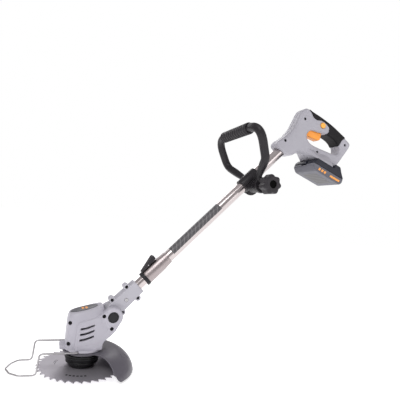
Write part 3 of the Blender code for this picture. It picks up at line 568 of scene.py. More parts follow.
INK_ORANGE = printed("orange_ink", (0.95, 0.36, 0.05), 0.4, (1.0, 0.48, 0.12), 120.0)
CELL_BLUE = plastic("cell_wrap_blue", (0.05, 0.2, 0.35), 0.4)


# ---------------------------------------------------------------- rear handle
HANDLE_SIDE = smooth_outline([(x, z + BLADE_Z) for x, z in [
    (351, 450), (353, 463), (371, 477), (386, 495), (396, 516), (405, 537), (413, 546),
    (421, 548), (432, 543), (460, 534), (490, 522), (515, 509), (535, 498), (546, 490),
    (545, 480), (530, 457), (519, 441), (509, 432), (480, 438), (440, 446), (412, 449),
    (400, 444), (388, 437), (372, 437)]], 3)
LOOP_SIDE = smooth_outline([(x, z + BLADE_Z) for x, z in [
    (424, 489), (428, 478), (438, 470.5), (455, 466), (478, 462), (503, 458.5), (514, 461.5),
    (516, 472), (509, 485), (495, 494), (477, 499.5), (454, 500.5), (434, 501)]], 3)
HANDLE_HALF = 16.5
SCREW_SEAT = HANDLE_HALF - 3.5
LOCK_BUTTON_R = 6.2
HANDLE_EDGE = 6.0            # radius of the handle's long edges
SHELL_T = 3.2
GAP = 0.3
HANDLE_SCREWS = [(x, z + BLADE_Z) for x, z in
                 [(414, 523), (368, 466), (454, 455), (484, 509), (531, 484)]]
HANDLE_VOXEL = 0.6


def handle_form(grow, name):
    """The handle's outer form with its finger loop, grown by a distance."""
    half = HANDLE_HALF + grow
    outline = offset_outline(HANDLE_SIDE, grow)
    body = rounded_slab(outline, -half, half, HANDLE_EDGE, name)
    flare = [(-half - 1, HANDLE_EDGE - grow)]
    for k in range(6):
        depth = HANDLE_EDGE * k / 5
        reach = HANDLE_EDGE - math.sqrt(HANDLE_EDGE ** 2 - (HANDLE_EDGE - depth) ** 2)
        flare.append((-half + depth, reach - grow))
    flare += [(-y, offset) for y, offset in reversed(flare)]
    return cut(body, slab(LOOP_SIDE, flare, "loop"))


def foot_form(name):
    """The flare from the handle's lower bar to the battery's width."""
    points = []
    for side in (-1, 1):
        for along, out, up in ((-39, 29, 29), (-35, 34, 29), (4, 34, 29), (7, 31, 29),
                               (-37, 32, 33), (5, 33, 33), (7, 29, 33)):
            points.append(BATTERY @ Vector((along, side * out, up)))
        for x, out, z in ((418, 13, 452), (428, 15.5, 460), (486, 15.5, 450), (492, 15, 440)):
            points.append(Vector((x, side * out, z + BLADE_Z)))
    return hull(points, name)


def handle_shells():
    body = join(handle_form(0, "handle"), foot_form("foot"))
    half = HANDLE_HALF - SHELL_T
    cavity = slab(HANDLE_SIDE[::3], [(-half, -SHELL_T - 3), (-half + 3, -SHELL_T),
                                     (half - 3, -SHELL_T), (half, -SHELL_T - 3)], "cavity")
    keep = slab(LOOP_SIDE[::3], [(-30, SHELL_T + 2.5), (-9, SHELL_T), (9, SHELL_T),
                                 (30, SHELL_T + 2.5)], "keep")
    cavity = cut(cavity, keep, box((360, -40, 420), (560, 40, 452 + BLADE_Z), "below"))
    for x, z in HANDLE_SCREWS:
        cavity = cut(cavity, turned(rod(4.2, -30, 30, "boss", 12), "Y", (x, 0, z)))
    bore = turned(rod(11.3, 455, 533, "bore", 48), "X")
    bore.data.transform(SHAFT)
    slot = box((422, -8.8, 486 + BLADE_Z), (470, 8.8, 512 + BLADE_Z), "slot")
    button = turned(rod(LOCK_BUTTON_R + 0.4, -30, -5, "button_hole", 48), "Y",
                    (463, 0, 517 + BLADE_Z))
    pocket = box((-24, -15, 20), (20, 15, 35), "pocket")
    pocket.data.transform(BATTERY)
    body = cut(body, cavity, bore, slot, button, pocket)
    for x, z in HANDLE_SCREWS:
        body = cut(body, turned(rod(1.7, -SCREW_SEAT, 11, "pilot", 12), "Y", (x, 0, z)),
                   turned(rod(3.1, -30, -SCREW_SEAT, "counterbore", 20), "Y", (x, 0, z)))
    for piece, side in halves(body, (300, -60, 380), (600, 60, 620)):
        moulded(piece, HANDLE_VOXEL, 12)
        place(piece, f"handle_casing_{side}", HANDLE_GREY, WORLD, "handle",
              [f"handle_shell_{side}"], 0)
    for number, (x, z) in enumerate(HANDLE_SCREWS, 1):
        screw = cross_screw(2.9, 1.8, 1.4, 22)
        place(turned(screw, "Y", (x, -SCREW_SEAT - 0.2, z)), f"handle_fixing_{number}", SCREW_BLACK, WORLD,
              "handle", [f"handle_screw_{number}"])


def cross_screw(head_r, head_t, shank_r, length):
    """A pan-head screw with a cross recess, its head towards -Z."""
    profile = [(0, -head_t - GAP), (head_r * 0.7, -head_t - GAP),
               (head_r, -head_t * 0.45 - GAP), (head_r, -GAP), (shank_r, -GAP),
               (shank_r, length), (0, length)]
    screw = lathe(eased(profile, 0.25), "screw", 28)
    wide, narrow, deep = head_r * 0.62, head_r * 0.14, head_t * 0.6
    for a, b in ((wide, narrow), (narrow, wide)):
        screw = cut(screw, box((-a, -b, -head_t - 1), (a, b, -head_t - GAP + deep), "recess"))
    return screw


def grip_overmould():
    region = smooth_outline([(x, z + BLADE_Z) for x, z in [
        (426, 558), (431, 536), (438, 529), (446, 526), (458, 527), (470, 523),
        (481, 514), (479, 503), (470, 492), (474, 482), (503, 466), (512, 478),
        (519, 492), (532, 506), (520, 532), (470, 562)]], 3)
    cover = common(handle_form(1.3, "cover"), slab(region, [(-26, 0), (26, 0)], "region"))
    cover = cut(cover, handle_form(-0.25, "core"))
    moulded(cover, 0.5, 3)
    place(cover, "grip_cover", SOFT_BLACK, WORLD, "handle", ["grip_overmould"], 0)


def trigger_parts():
    side = [(x, z + BLADE_Z) for x, z in [
        (427, 489.5), (443, 486.3), (460, 483.3), (464.5, 486), (466.5, 495), (466.5, 505),
        (440, 510), (429, 510.5), (425.5, 506), (425.5, 495)]]
    lever = rounded_slab(eased(side, 1.6, 4), -8.3, 8.3, 1.0, "lever", 4)
    at = (429, 0, 506 + BLADE_Z)
    lever = cut(lever, turned(rod(1.8, -12, 12, "eye", 24), "Y", at))
    place(lever, "trigger_lever", ORANGE, WORLD, "trigger", ["trigger"])
    out = -HANDLE_HALF - 2.4
    profile = [(0, out), (LOCK_BUTTON_R - 0.7, out), (LOCK_BUTTON_R, out + 0.8),
               (LOCK_BUTTON_R, -7), (0, -7)]
    button = lathe(eased(profile, 0.5), "button", 56)
    place(turned(button, "Y", (463, 0, 517 + BLADE_Z)), "lock_off_cap", BUTTON_ORANGE, WORLD,
          "lock_off", ["lock_off_button"])


# ---------------------------------------------------------------- shaft
COLLAR_R = 13.5
LABEL_SPAN = (156.0, 289.0)


def lock_hole(low, high):
    """The hole over the lock pad, through the collar and the tube."""
    hole = rod(3.4, low, high, "hole", 32)
    hole.data.transform(Matrix.Translation((95, 0, 0)))
    return hole


def shaft_tubes():
    outer = turned(ring(11.0, 9.9, 86.5, 531, "outer", 96), "X")
    place(cut(outer, lock_hole(5, 20)), "upper_tube", CHROME, SHAFT, "handle",
          ["outer_tube"])
    inner = turned(ring(9.5, 8.3, 26, 430, "inner", 96), "X")
    place(inner, "lower_tube", CHROME, SHAFT, "lower_shaft", ["inner_tube"])
    sleeve = [(11.3, 89.5), (COLLAR_R, 89.5), (COLLAR_R, 126), (12.6, 133), (12.1, 144),
              (11.3, 144)]
    collar = turned(lathe(eased(sleeve, 0.8, 4), "collar", 96), "X")
    place(cut(collar, lock_hole(8, 20)), "lock_collar", SATIN_TUBE, SHAFT, "handle",
          ["tube_collar"])
    bush = [(9.9, 82.5), (13.9, 82.5), (13.9, 89.2), (11.3, 89.2), (11.3, 86.2), (9.9, 86.2)]
    place(turned(lathe(eased(bush, 0.6), "bush", 96), "X"), "collar_end_bush", CAP_BLACK, SHAFT,
          "handle", ["collar_bush"])
    film = lathe([(11.02, LABEL_SPAN[0]), (11.1, LABEL_SPAN[0]), (11.1, LABEL_SPAN[1]),
                  (11.02, LABEL_SPAN[1])], "film", 40, 165, 110)
    place(turned(film, "X"), "tube_label", LABEL_FILM, SHAFT, "handle")


def lock_rocker():
    side = [(88, 14.1), (106, 14.1), (125, 16.6), (125, 23.8), (122, 24.4), (104, 19.5),
            (89, 15.6)]
    lever = rounded_slab(eased(side, 1.0), -7, 7, 0.35, "lever")
    lever = cut(lever, turned(rod(1.3, -12, 12, "eye", 20), "Y", (106, 0, 16.4)))
    for k in range(4):
        along = 111.0 + 3.0 * k
        up = 19.5 + (along - 104) * 0.272
        groove = turned(rod(0.7, -5.4, 5.4, "groove", 16), "Y", (along, 0, up + 0.35))
        lever = cut(lever, groove)
    place(lever, "rocker_lever", KNOB_BLACK, SHAFT, "rocker", ["lock_rocker"])


# ---------------------------------------------------------------- arm bracket
EARS = [(17.3, 20.0), (50.8, 19.5), (16.0, -10.0), (52.6, -10.6)]
HEX_SCREW = (35.5, 2.6)


def arm_bracket():
    outline = (arc((0, 0), 15.5, 100, 318, 25)
               + [(24, -9.6), (68, -8.6), (68, 16.8), (40, 17.3), (8, 18.0)])
    body = rounded_slab(outline, -12.3, 12.3, 2.0, "bracket", 4)
    step = slab([(20, -30), (21, -30), (21.8, -9), (23.0, 4), (20.5, 19), (19.5, 19), (22.2, 4),
                 (21, -9)], [(-14, 0), (-11.9, 0)], "step")
    body = cut(body, step)
    for along, up in EARS:
        body = join(body, turned(rod(5.5, -9.7, 9.7, "ear", 36, 0.6), "Y", (along, 0, up)))
    bore = turned(rod(9.8, 24, 80, "bore", 40), "X", (0, 0, TUBE_OFFSET))
    body = cut(body, bore, turned(rod(5.3, -20, 20, "axle", 32), "Y"))
    for along, up in EARS:
        body = cut(body, turned(rod(1.6, -8.4, 6, "pilot", 16), "Y", (along, 0, up)),
                   turned(rod(3.0, -20, -8, "counterbore", 24), "Y", (along, 0, up)))
    at = (HEX_SCREW[0], 0, HEX_SCREW[1])
    body = cut(body, turned(rod(3.3, -20, -10.4, "socket", 24), "Y", at))
    for piece, side in halves(body, (-30, -30, -40), (90, 30, 40)):
        moulded(piece, 0.5, 3)
        place(piece, f"arm_casing_{side}", BRACKET_GREY, PIVOT, "lower_shaft",
              [f"arm_bracket_{side}"], 0)
    for number, (along, up) in enumerate(EARS, 1):
        screw = cross_screw(2.6, 0.9, 1.3, 12)
        place(turned(screw, "Y", (along, -8.2, up)), f"arm_fixing_{number}", SCREW_BLACK, PIVOT,
              "lower_shaft", [f"bracket_screw_{number}"])
    stud = turned(rod(2.9, -12.6, -10.7, "stud", 36, 0.3), "Y", at)
    stud = cut(stud, turned(rod(1.5, -13, -11.6, "hex", 6), "Y", at))
    place(stud, "arm_stud", STEEL, PIVOT, "lower_shaft", ["tube_screw"])


# ---------------------------------------------------------------- motor head
TOP_SLOPE = 0.27
BODY_LEVELS = [  # height, slope, half length, half width, middle
    (32.0, 0.0, 30.5, 24.0, -2.0), (60.0, 0.0, 31.0, 24.5, -2.0),
    (80.0, 0.14, 31.0, 24.5, -2.0), (86.0, 0.19, 31.0, 24.2, -2.0),
    (90.5, 0.23, 30.8, 23.3, -2.0), (94.0, 0.25, 30.3, 22.0, -2.0),
    (97.0, TOP_SLOPE, 29.5, 20.5, -2.0), (99.2, TOP_SLOPE, 28.4, 18.8, -2.1),
    (100.3, TOP_SLOPE, 26.6, 16.6, -2.2)]
WALL = 2.3
CHEEK_IN, CHEEK_OUT = 12.8, 26.5
HOUSING_SCREWS = [(-28.8, 78.0, 19.0), (-27.5, 43.0, 19.0), (26.0, 91.0, 25.0),
                  (41.6, 69.3, 25.0)]
NOSE_LINES = (52.5, 65.5)
TICKS = (160, 182, 204, 226, 248)


def body_form(shrink, bottom, count, name):
    """The motor body: rounded rectangles that narrow towards the sloping top."""
    rings = []
    for k, (height, slope, a, b, middle) in enumerate(BODY_LEVELS):
        z = bottom if k == 0 else height - (shrink if height > 90 else 0)
        points = []
        for i in range(count):
            turn = 2 * math.pi * (i + 0.5) / count
            c, s = math.cos(turn), math.sin(turn)
            reach = (abs(c) ** 4 + abs(s) ** 4) ** -0.25
            x = middle + (a - shrink) * c * reach
            points.append((x, (b - shrink) * s * reach, z + slope * x))
        rings.append(points)
    return skin(rings, name)


def cheek_outline():
    """Side plate: panel over the motor, running into the knuckle round the pivot."""
    return ([(28.5, 33.0), (-15.5, 33.0), (-17, 34.5), (-17, 74), (-16, 78.5), (-12, 81),
             (2, 84.5), (14, 89), (24, 96)] + arc((PIVOT_X, PIVOT_H), 17.0, 128, -38, 31)
            + [(49, 65.5), (42, 57.5), (35, 51.3), (30.5, 47), (28.7, 42)])


def curved_band(low_x, high_x, height, rise, thick, name, depth):
    """A band across the cheeks that curves up towards the back."""
    run = high_x - low_x
    top = [(low_x + run * k / 10, height + thick / 2 + rise * (k / 10) ** 1.6)
           for k in range(11)]
    bottom = [(x, z - thick) for x, z in reversed(top)]
    return slab(top + bottom, [(depth[0], 0), (depth[1], 0)], name)


def at_pivot(obj):
    return turned(obj, "Y", (PIVOT_X, 0, PIVOT_H))


def motor_housing():
    body = body_form(0, 32.0, 96, "housing")
    for side in (-1, 1):
        levels = [(side * CHEEK_IN, 0)] + quarter(side * 16, side * CHEEK_OUT, 1.4)
        body = join(body, slab(cheek_outline(), levels, "cheek"))
        low, high = sorted((side * 15.0, side * 27.4))
        body = join(body, at_pivot(rod(15.6, low, high, "boss", 64, 0.5)))
    flange = eased([(0, 30.0), (33.0, 30.0), (33.0, 34.5), (0, 34.5)], 0.9)
    lug = rounded_lug()
    body = join(body, lathe(flange, "flange", 96), lug)
    slot_half = CHEEK_IN + 0.2
    body = cut(body, body_form(WALL, 34.0, 32, "cavity"),
               box((24.5, -slot_half, 60), (70, slot_half, 120), "slot"),
               at_pivot(rod(17.5, -slot_half, slot_half, "knuckle", 64)),
               rod(9.3, 20, 40, "shaft_hole", 32),
               at_pivot(rod(5.3, -22.4, 22.4, "axle_bore", 32)),
               at_pivot(rod(9.4, 22.2, 30, "recess", 48)),
               at_pivot(rod(9.4, -30, -22.2, "recess", 48)),
               slab_ellipse(23.0, 14.6, "badge_seat", 99.3, 110))
    for k in range(3):
        body = cut(body, curved_band(-11, 12.5, 69.0 - 9.4 * k, 7.0, 3.7, "vent", (-40, 40)))
    for x, z, y in HOUSING_SCREWS:
        body = cut(body, turned(rod(3.3, -40, -y + 1.5, "counterbore", 28), "Y", (x, 0, z)))
    for side in (-1, 1):
        low, high = sorted((side * 24.0, side * 40.0))
        body = cut(body, turned(rod(1.9, low, high, "wire_hole", 16), "Y", (-12, 0, 32.2)))
        body = cut(body, *panel_lines(side))
    for piece, side in halves(body, (-60, -60, 0), (90, 60, 140)):
        moulded(piece, 0.55, 3)
        place(piece, f"motor_casing_{side}", GREY, HEAD, "head",
              [f"motor_housing_{side}"], 0)
    for number, (x, z, y) in enumerate(HOUSING_SCREWS, 1):
        head = turned(rod(3.0, -y - 0.4, -y + 1.2, "head", 28, 0.3), "Y", (x, 0, z))
        for a, b in ((1.9, 0.4), (0.4, 1.9)):
            head = cut(head, box((x - a, -y - 2, z - b), (x + a, -y + 0.4, z + b), "recess"))
        place(head, f"housing_fixing_{number}", SCREW_BLACK, HEAD, "head",
              [f"housing_screw_{number}"])
    pivot_ticks()
    place(slab_ellipse(22.6, 14.2, "badge", 99.6, 100.9, 96), "badge_plate", BADGE_GREY, HEAD,
          "head", ["top_badge"])
    place(badge_mark(), "badge_mark", INK_ORANGE, HEAD, "head")


def rounded_lug():
    """The wire's stop block in front, under the nose."""
    outline = eased([(-41, 31.4), (-24, 31.4), (-24, 38.5), (-41, 38.5)], 2.8, 4)
    return rounded_slab(outline, -14, 14, 1.4, "lug", 4)


def panel_lines(side):
    """Shallow lines: beside the nose, across it and along the cheek's lower edge."""
    low, high = sorted((side * 23.7, side * 32))
    tools = [box((-18.9, low, 36), (-17.6, high, 82), "line")]
    tools += [box((-36, low, z - 0.45), (-18.9, high, z + 0.45), "line") for z in NOSE_LINES]
    low, high = sorted((side * (CHEEK_OUT - 0.7), side * 32))
    tools.append(curved_band(-14.5, 24, 39.5, 6.0, 1.0, "line", (low, high)))
    tools.append(at_pivot(ring(13.2, 12.4, *sorted((side * 26.8, side * 30)), "line", 64, 0)))
    return tools


def pivot_ticks():
    """Raised angle marks round the pivot, on both cheeks."""
    marks = []
    for side in (-1, 1):
        low, high = sorted((side * (CHEEK_OUT - 0.2), side * (CHEEK_OUT + 0.45)))
        marks.append(lathe([(20.6, low), (21.4, low), (21.4, high), (20.6, high)], "arc", 24,
                           150, 106))
        for angle in TICKS:
            mark = box((22.4, -0.45, low), (26.4, 0.45, high), "tick")
            mark.data.transform(Matrix.Rotation(math.radians(angle), 4, "Z"))
            marks.append(mark)
    body = joined(marks)
    body.data.transform(Matrix.Scale(-1, 4, (0, 1, 0)))
    body.data.flip_normals()
    place(at_pivot(body), "pivot_marks", GREY, HEAD, "head")


def slab_ellipse(a, b, name, low, high, count=48):
    """An oval plate on the sloping top of the housing."""
    rings = []
    for height, grow in ((low, 0), (high - 0.4, 0), (high - 0.1, -0.15), (high, -0.4)):
        points = []
        for k in range(count):
            turn = 2 * math.pi * k / count
            x = -6.5 + (a + grow) * math.cos(turn)
            points.append((x, (b + grow) * math.sin(turn), height + TOP_SLOPE * x))
        rings.append(points)
    return skin(rings, name)


def badge_mark():
    """A plain two-bar mark printed across the badge."""
    bars = []
    for along, side in ((-8.8, 1.5), (-3.0, -1.5)):
        corners = [(along - 1.4, side - 6), (along + 2.2, side - 6), (along + 1.4, side + 6),
                   (along - 2.2, side + 6)]
        rings = [[(x, y, z + TOP_SLOPE * x) for x, y in corners] for z in (100.8, 101.0)]
        bars.append(skin(rings, "mark"))
    return joined(bars)


def pivot_parts():
    cap = eased([(0, 22.5), (9.0, 22.5), (9.0, 27.8), (0, 27.8)], 0.6)
    cap = cut(lathe(cap, "cap", 72), ring(7.6, 7.0, 27.5, 29, "line", 64, 0))
    place(at_pivot(cap), "pivot_cover", CAP_BLACK, HEAD, "head", ["pivot_cap"])
    button = eased([(0, -27.8), (9.0, -27.8), (9.0, -24.6), (0, -24.6)], 0.6)
    button = cut(lathe(button, "button", 72), ring(7.6, 7.0, -29, -27.5, "line", 64, 0))
    place(at_pivot(button), "pivot_push", CAP_BLACK, HEAD, "pivot_release",
          ["pivot_button"])


# ---------------------------------------------------------------- guard, blade and wire
GUARD_PROFILE = [(34.0, 29.6), (46, 30.4), (58, 28.9), (70, 23.4), (79, 16.3),
                 (85.6, 8.0), (89, 1.5), (91, -5.2)]
GUARD_T = 2.4


def open_curve(points, steps):
    """A smooth open curve through points of any size."""
    last = len(points) - 1
    curve = [p for k in range(last)
             for p in spline(*(Vector(points[min(max(k + j, 0), last)]) for j in (-1, 0, 1, 2)),
                             steps)]
    return curve + [Vector(points[-1])]


def guard():
    angles = [57.0 + 10.0 * max(0.0, 1 - k / 3) ** 1.5 for k in range(6)] + [54.5, 49.0]
    curve = open_curve([(r, z, angle) for (r, z), angle in zip(GUARD_PROFILE, angles)], 6)
    inner = []
    for k, here in enumerate(curve):
        d = curve[min(k + 1, len(curve) - 1)] - curve[max(k - 1, 0)]
        d = Vector((d.x, d.y)).normalized()
        inner.append(Vector((here.x + d.y * GUARD_T, here.y - d.x * GUARD_T, here.z)))
    section = curve + inner[::-1]
    steps = 72
    rings = []
    for k in range(steps + 1):
        share = 2 * k / steps - 1
        rings.append([(r * math.cos(math.radians(share * angle)),
                       r * math.sin(math.radians(share * angle)), z)
                      for r, z, angle in section])
    hub = lathe(eased([(18.0, 26.5), (35.0, 26.5), (35.0, 29.7), (18.0, 29.7)], 0.8), "hub", 96)
    body = join(skin(rings, "dome"), hub)
    moulded(body, 0.6, 3)
    place(body, "guard_dome", GUARD_GREY, HEAD, "head", ["guard"], 0)
    arrow = guard_arrow(curve)
    place(arrow, "guard_arrow", GUARD_GREY, HEAD, "head")
    neck = ring(27.5, 18, 22.6, 26.2, "neck", 96, 0.8)
    place(neck, "neck_band", COLLAR_GREY, HEAD, "head", ["neck_ring"])


def guard_arrow(curve):
    """A plain bent arrow that shows the blade's turning, raised on the guard."""
    def on_dome(share, angle):
        place_on = share * (len(curve) - 1)
        k = min(int(place_on), len(curve) - 2)
        here = curve[k].lerp(curve[k + 1], place_on - k)
        turn = math.radians(angle)
        return Vector((here.x * math.cos(turn), here.x * math.sin(turn), here.y))

    strokes = [[(0.44, -26), (0.44, -14)], [(0.44, -14), (0.60, -12)],
               [(0.38, -22), (0.44, -26), (0.50, -22)]]
    bars = []
    for stroke in strokes:
        path = []
        for (s0, a0), (s1, a1) in zip(stroke, stroke[1:]):
            path += [on_dome(s0 + (s1 - s0) * k / 6, a0 + (a1 - a0) * k / 6) for k in range(7)]
        path = [p for k, p in enumerate(path) if k == 0 or (p - path[k - 1]).length > 0.01]
        bars.append(bar(path, 0.55, "stroke", 10))
    return joined(bars)


BLADE_T = 1.3
BLADE_TEETH = 36
TIP_R, ROOT_R = 75.0, 70.6


def tooth_points(base, pitch):
    """One hooked tooth: a long back rising to the tip, a steep face and a deep gullet."""
    gullet = [(ROOT_R - 1.9, 0.86), (ROOT_R - 2.1, 0.96), (ROOT_R - 1.6, 1.08)]
    back = [(ROOT_R + 0.6, 0.26), (TIP_R - 2.0, 0.44), (TIP_R - 0.7, 0.57), (TIP_R, 0.70)]
    face = [(TIP_R - 2.2, 0.715), (ROOT_R - 0.2, 0.77)]
    return [(r, base + share * pitch) for r, share in back + face + gullet]


def polar_slab(outline, low, high, name):
    return skin([[(r * math.cos(a), r * math.sin(a), z) for r, a in outline]
                 for z in (low, high)], name)


def saw_blade():
    pitch = 2 * math.pi / BLADE_TEETH
    outline = [p for k in range(BLADE_TEETH) for p in tooth_points(k * pitch, pitch)]
    blade = polar_slab(outline, -BLADE_T / 2, BLADE_T / 2, "blade")
    blade = cut(blade, rod(4.3, -5, 5, "bore", 48))
    place(blade, "blade_disc", BLADE_STEEL, HEAD, "spindle", ["saw_blade"], 30)
    tips = bmesh.new()
    half = BLADE_T / 2 + 0.2
    for k in range(BLADE_TEETH):
        base = k * pitch
        corners = [(TIP_R + 0.05, base + 0.705 * pitch), (TIP_R - 0.35, base + 0.58 * pitch),
                   (TIP_R - 2.3, base + 0.63 * pitch), (TIP_R - 2.2, base + 0.75 * pitch)]
        rows = [[tips.verts.new((r * math.cos(a), r * math.sin(a), z)) for r, a in corners]
                for z in (-half, half)]
        for i in range(4):
            j = (i + 1) % 4
            tips.faces.new((rows[0][i], rows[0][j], rows[1][j], rows[1][i]))
        tips.faces.new(rows[0][::-1])
        tips.faces.new(rows[1])
    place(solid(tips, "tips"), "blade_tips", CARBIDE, HEAD, "spindle", (), 30)
    blade_print()
    cup = [(4.3, 1.0), (21.8, 1.0), (23.2, 5.6), (27.4, 7.8), (28.0, 8.6), (28.0, 10.8),
           (27.0, 11.3), (27.0, 12.1), (28.0, 12.6), (28.0, 14.6), (30.0, 16.0), (30.0, 18.4),
           (29.2, 18.9), (29.2, 19.5), (30.0, 20.0), (30.0, 22.2), (4.3, 22.2)]
    place(lathe(eased(cup, 0.5), "cup", 112), "holder_cup", GLOSS_BLACK, HEAD, "spindle",
          ["blade_holder"])
    washer = ring(13.0, 4.3, -2.4, -0.95, "washer", 72, 0.3)
    place(washer, "blade_flange", STEEL, HEAD, "spindle", ["blade_washer"])
    head = skin([[((7.5 + grow) * math.cos(math.radians(60 * k)),
                   (7.5 + grow) * math.sin(math.radians(60 * k)), z) for k in range(6)]
                 for z, grow in ((-BLADE_Z, -0.7), (-BLADE_Z + 0.6, 0), (-2.7, 0))], "hex")
    bolt = join(head, rod(3.9, -4, 6.0, "shank", 32))
    place(bolt, "blade_hex_bolt", SCREW_BLACK, HEAD, "spindle", ["blade_bolt"])


def blade_print():
    """Plain printed bars on the blade, in place of a maker's print."""
    top = BLADE_T / 2
    bars = []
    for start, width, r_in, r_out in ([(-124 + 7 * k, 4.2, 48, 52) for k in range(6)]
                                      + [(150, 26, 44, 44.8), (150, 18, 46.5, 47.3)]):
        bars.append(lathe([(r_in, top - 0.02), (r_out, top - 0.02), (r_out, top + 0.04),
                           (r_in, top + 0.04)], "bar", 12, start, width))
    place(joined(bars), "blade_print", INK_BLACK, HEAD, "spindle")


def wire_guard():
    side = 33.4
    corners = [(-12, -26.5, 32.2), (-12, -side, 32.2), (-71.5, -side, 32.2),
               (-73.0, -side, -1.5), (-98.0, -33.0, -1.5), (-113.5, -20, -1.5),
               (-120.5, -1.0, -1.5), (-114, 19.0, -1.5), (-104, 33.0, -1.5),
               (-81.5, side, -1.5), (-80.0, side, 32.2), (-12, side, 32.2), (-12, 26.5, 32.2)]
    radii = [0, 2.2, 7, 6, 14, 12, 12, 12, 12, 6, 7, 2.2, 0]
    wire = bar(rounded_path(corners, radii, 10), 1.5, "wire", 20)
    place(wire, "wire_loop", WIRE_STEEL, HEAD, "wire", ["wire_guard"], 60)


# ---------------------------------------------------------------- side handle and clamp
BAR_R, ROOT_R_BAR = 8.7, 6.0
LOOP_TOP = (38.5, 111.5)     # the top bar's place along and above the bolt
DISC_R = 16.5
RIB_COUNT, RIB_RUN = 12, 111.0


def flattened(angle):
    """The bar's section: a circle with slightly flat sides."""
    return 1.0 - 0.045 * math.cos(4 * angle)


def side_handle():
    corners = [(2.0, -27.0, 9.0), (6.0, -31.0, 21.0), (17.0, -74.0, 50.0),
               (LOOP_TOP[0], -95.0, LOOP_TOP[1]), (LOOP_TOP[0], 91.0, LOOP_TOP[1]),
               (17.0, 94.0, 49.0), (6.0, 31.0, 16.0), (2.0, 27.0, 9.0)]
    path = rounded_path(corners, [0, 9, 24, 27, 34, 26, 9, 0], 10)
    lengths = [0.0]
    for a, b in zip(path, path[1:]):
        lengths.append(lengths[-1] + (b - a).length)
    taper = 46.0
    radii = [ROOT_R_BAR + (BAR_R - ROOT_R_BAR) * min(1.0, min(s, lengths[-1] - s) / taper)
             for s in lengths]
    loop = bar(path, radii, "loop", 28, flattened)
    for side in (-1, 1):
        low, high = sorted((side * 21.6, side * 31.0))
        loop = join(loop, turned(rod(DISC_R, low, high, "disc", 72, 0.9), "Y"))
    for side in (-1, 1):
        low, high = sorted((side * 20, side * 40))
        seam = sorted((side * 26.0, side * 26.8))
        loop = cut(loop, turned(rod(3.7, low, high, "bolt_hole", 24), "Y"),
                   turned(ring(20, DISC_R - 0.8, *seam, "seam", 72, 0), "Y"))
    moulded(loop, 0.6, 3)
    place(loop, "side_loop_bar", BAR_BLACK, CLAMP, "side_loop",
          ["side_handle"], 0)
    place(grip_sleeve(), "side_loop_grip", RIB_BLACK, CLAMP, "side_loop",
          ["side_grip_sleeve"], 40)


def grip_sleeve():
    """A sleeve on the top bar: finger ribs round its lower side, plain along its top."""
    rows, sides = 222, 64
    pitch = RIB_RUN / RIB_COUNT
    rings, bores = [], []
    for k in range(rows + 1):
        y = -RIB_RUN / 2 + RIB_RUN * k / rows
        wave = (y + RIB_RUN / 2) % pitch / pitch
        groove = max(0.0, 1 - ((wave - 0.5) / 0.31) ** 8) if abs(wave - 0.5) < 0.31 else 0.0
        end = min(1.0, (RIB_RUN / 2 - abs(y)) / 1.5)
        ring_points = []
        for i in range(sides):
            a = 2 * math.pi * i / sides
            under = min(1.0, max(0.0, 0.62 + 0.95 * math.cos(a - math.radians(200))))
            r = 11.8 - 2.15 * groove * under - 1.6 * (1 - math.sqrt(max(0.0, 1 - (1 - end) ** 2)))
            ring_points.append((LOOP_TOP[0] + r * math.cos(a), y + 2, LOOP_TOP[1] + r * math.sin(a)))
        rings.append(ring_points)
    for y in (RIB_RUN / 2, -RIB_RUN / 2):
        bores.append([(LOOP_TOP[0] + 9.4 * math.cos(2 * math.pi * i / sides), y + 2,
                       LOOP_TOP[1] + 9.4 * math.sin(2 * math.pi * i / sides))
                      for i in range(sides)])
    return skin(rings + bores, "sleeve", True)


def clamp():
    low, high = -26.0, 19.0
    along_tube = SHAFT @ Matrix.Translation((CLAMP_ALONG, 0, 0))
    upper = lathe(eased([(11.3, low), (14.8, low), (14.8, high), (11.3, high)], 0.9),
                  "upper", 48, -87, 174)
    upper.data.transform(Matrix.Rotation(math.radians(90), 4, "Y"))
    upper.data.transform(Matrix.Rotation(math.radians(180), 4, "X"))
    place(upper, "clamp_saddle", BAR_BLACK, along_tube, "clamp",
          ["clamp_upper"], 40)
    lower = turned(rod(15.0, low, high, "lower", 64, 0.8), "X")
    boss = turned(rod(14.5, -21.2, 21.2, "boss", 64, 0.8), "Y", (0, 0, BOLT_BELOW))
    seams = [turned(ring(20, 13.6, y - 0.4, y + 0.4, "seam", 64, 0), "Y", (0, 0, BOLT_BELOW))
             for y in (-18.0, 18.0)]
    lower = join(lower, boss, box((-13, -12, -20), (13, 12, -6), "web"))
    lower = cut(lower, *seams, box((-60, -40, -0.5), (60, 40, 40), "top"),
                turned(rod(11.3, -60, 60, "bore", 64), "X"),
                turned(rod(3.5, -40, 40, "bolt", 24), "Y", (0, 0, BOLT_BELOW)))
    moulded(lower, 0.5, 2)
    place(lower, "clamp_body", BAR_BLACK, along_tube, "clamp",
          ["clamp_lower"], 0)
    bolt = [(0, -62), (3.2, -62), (3.2, 31.4), (5.6, 31.4), (5.6, 35), (0, 35)]
    place(turned(lathe(eased(bolt, 0.4), "bolt", 40), "Y"), "clamp_through_bolt", STEEL, CLAMP,
          "clamp", ["clamp_bolt"])


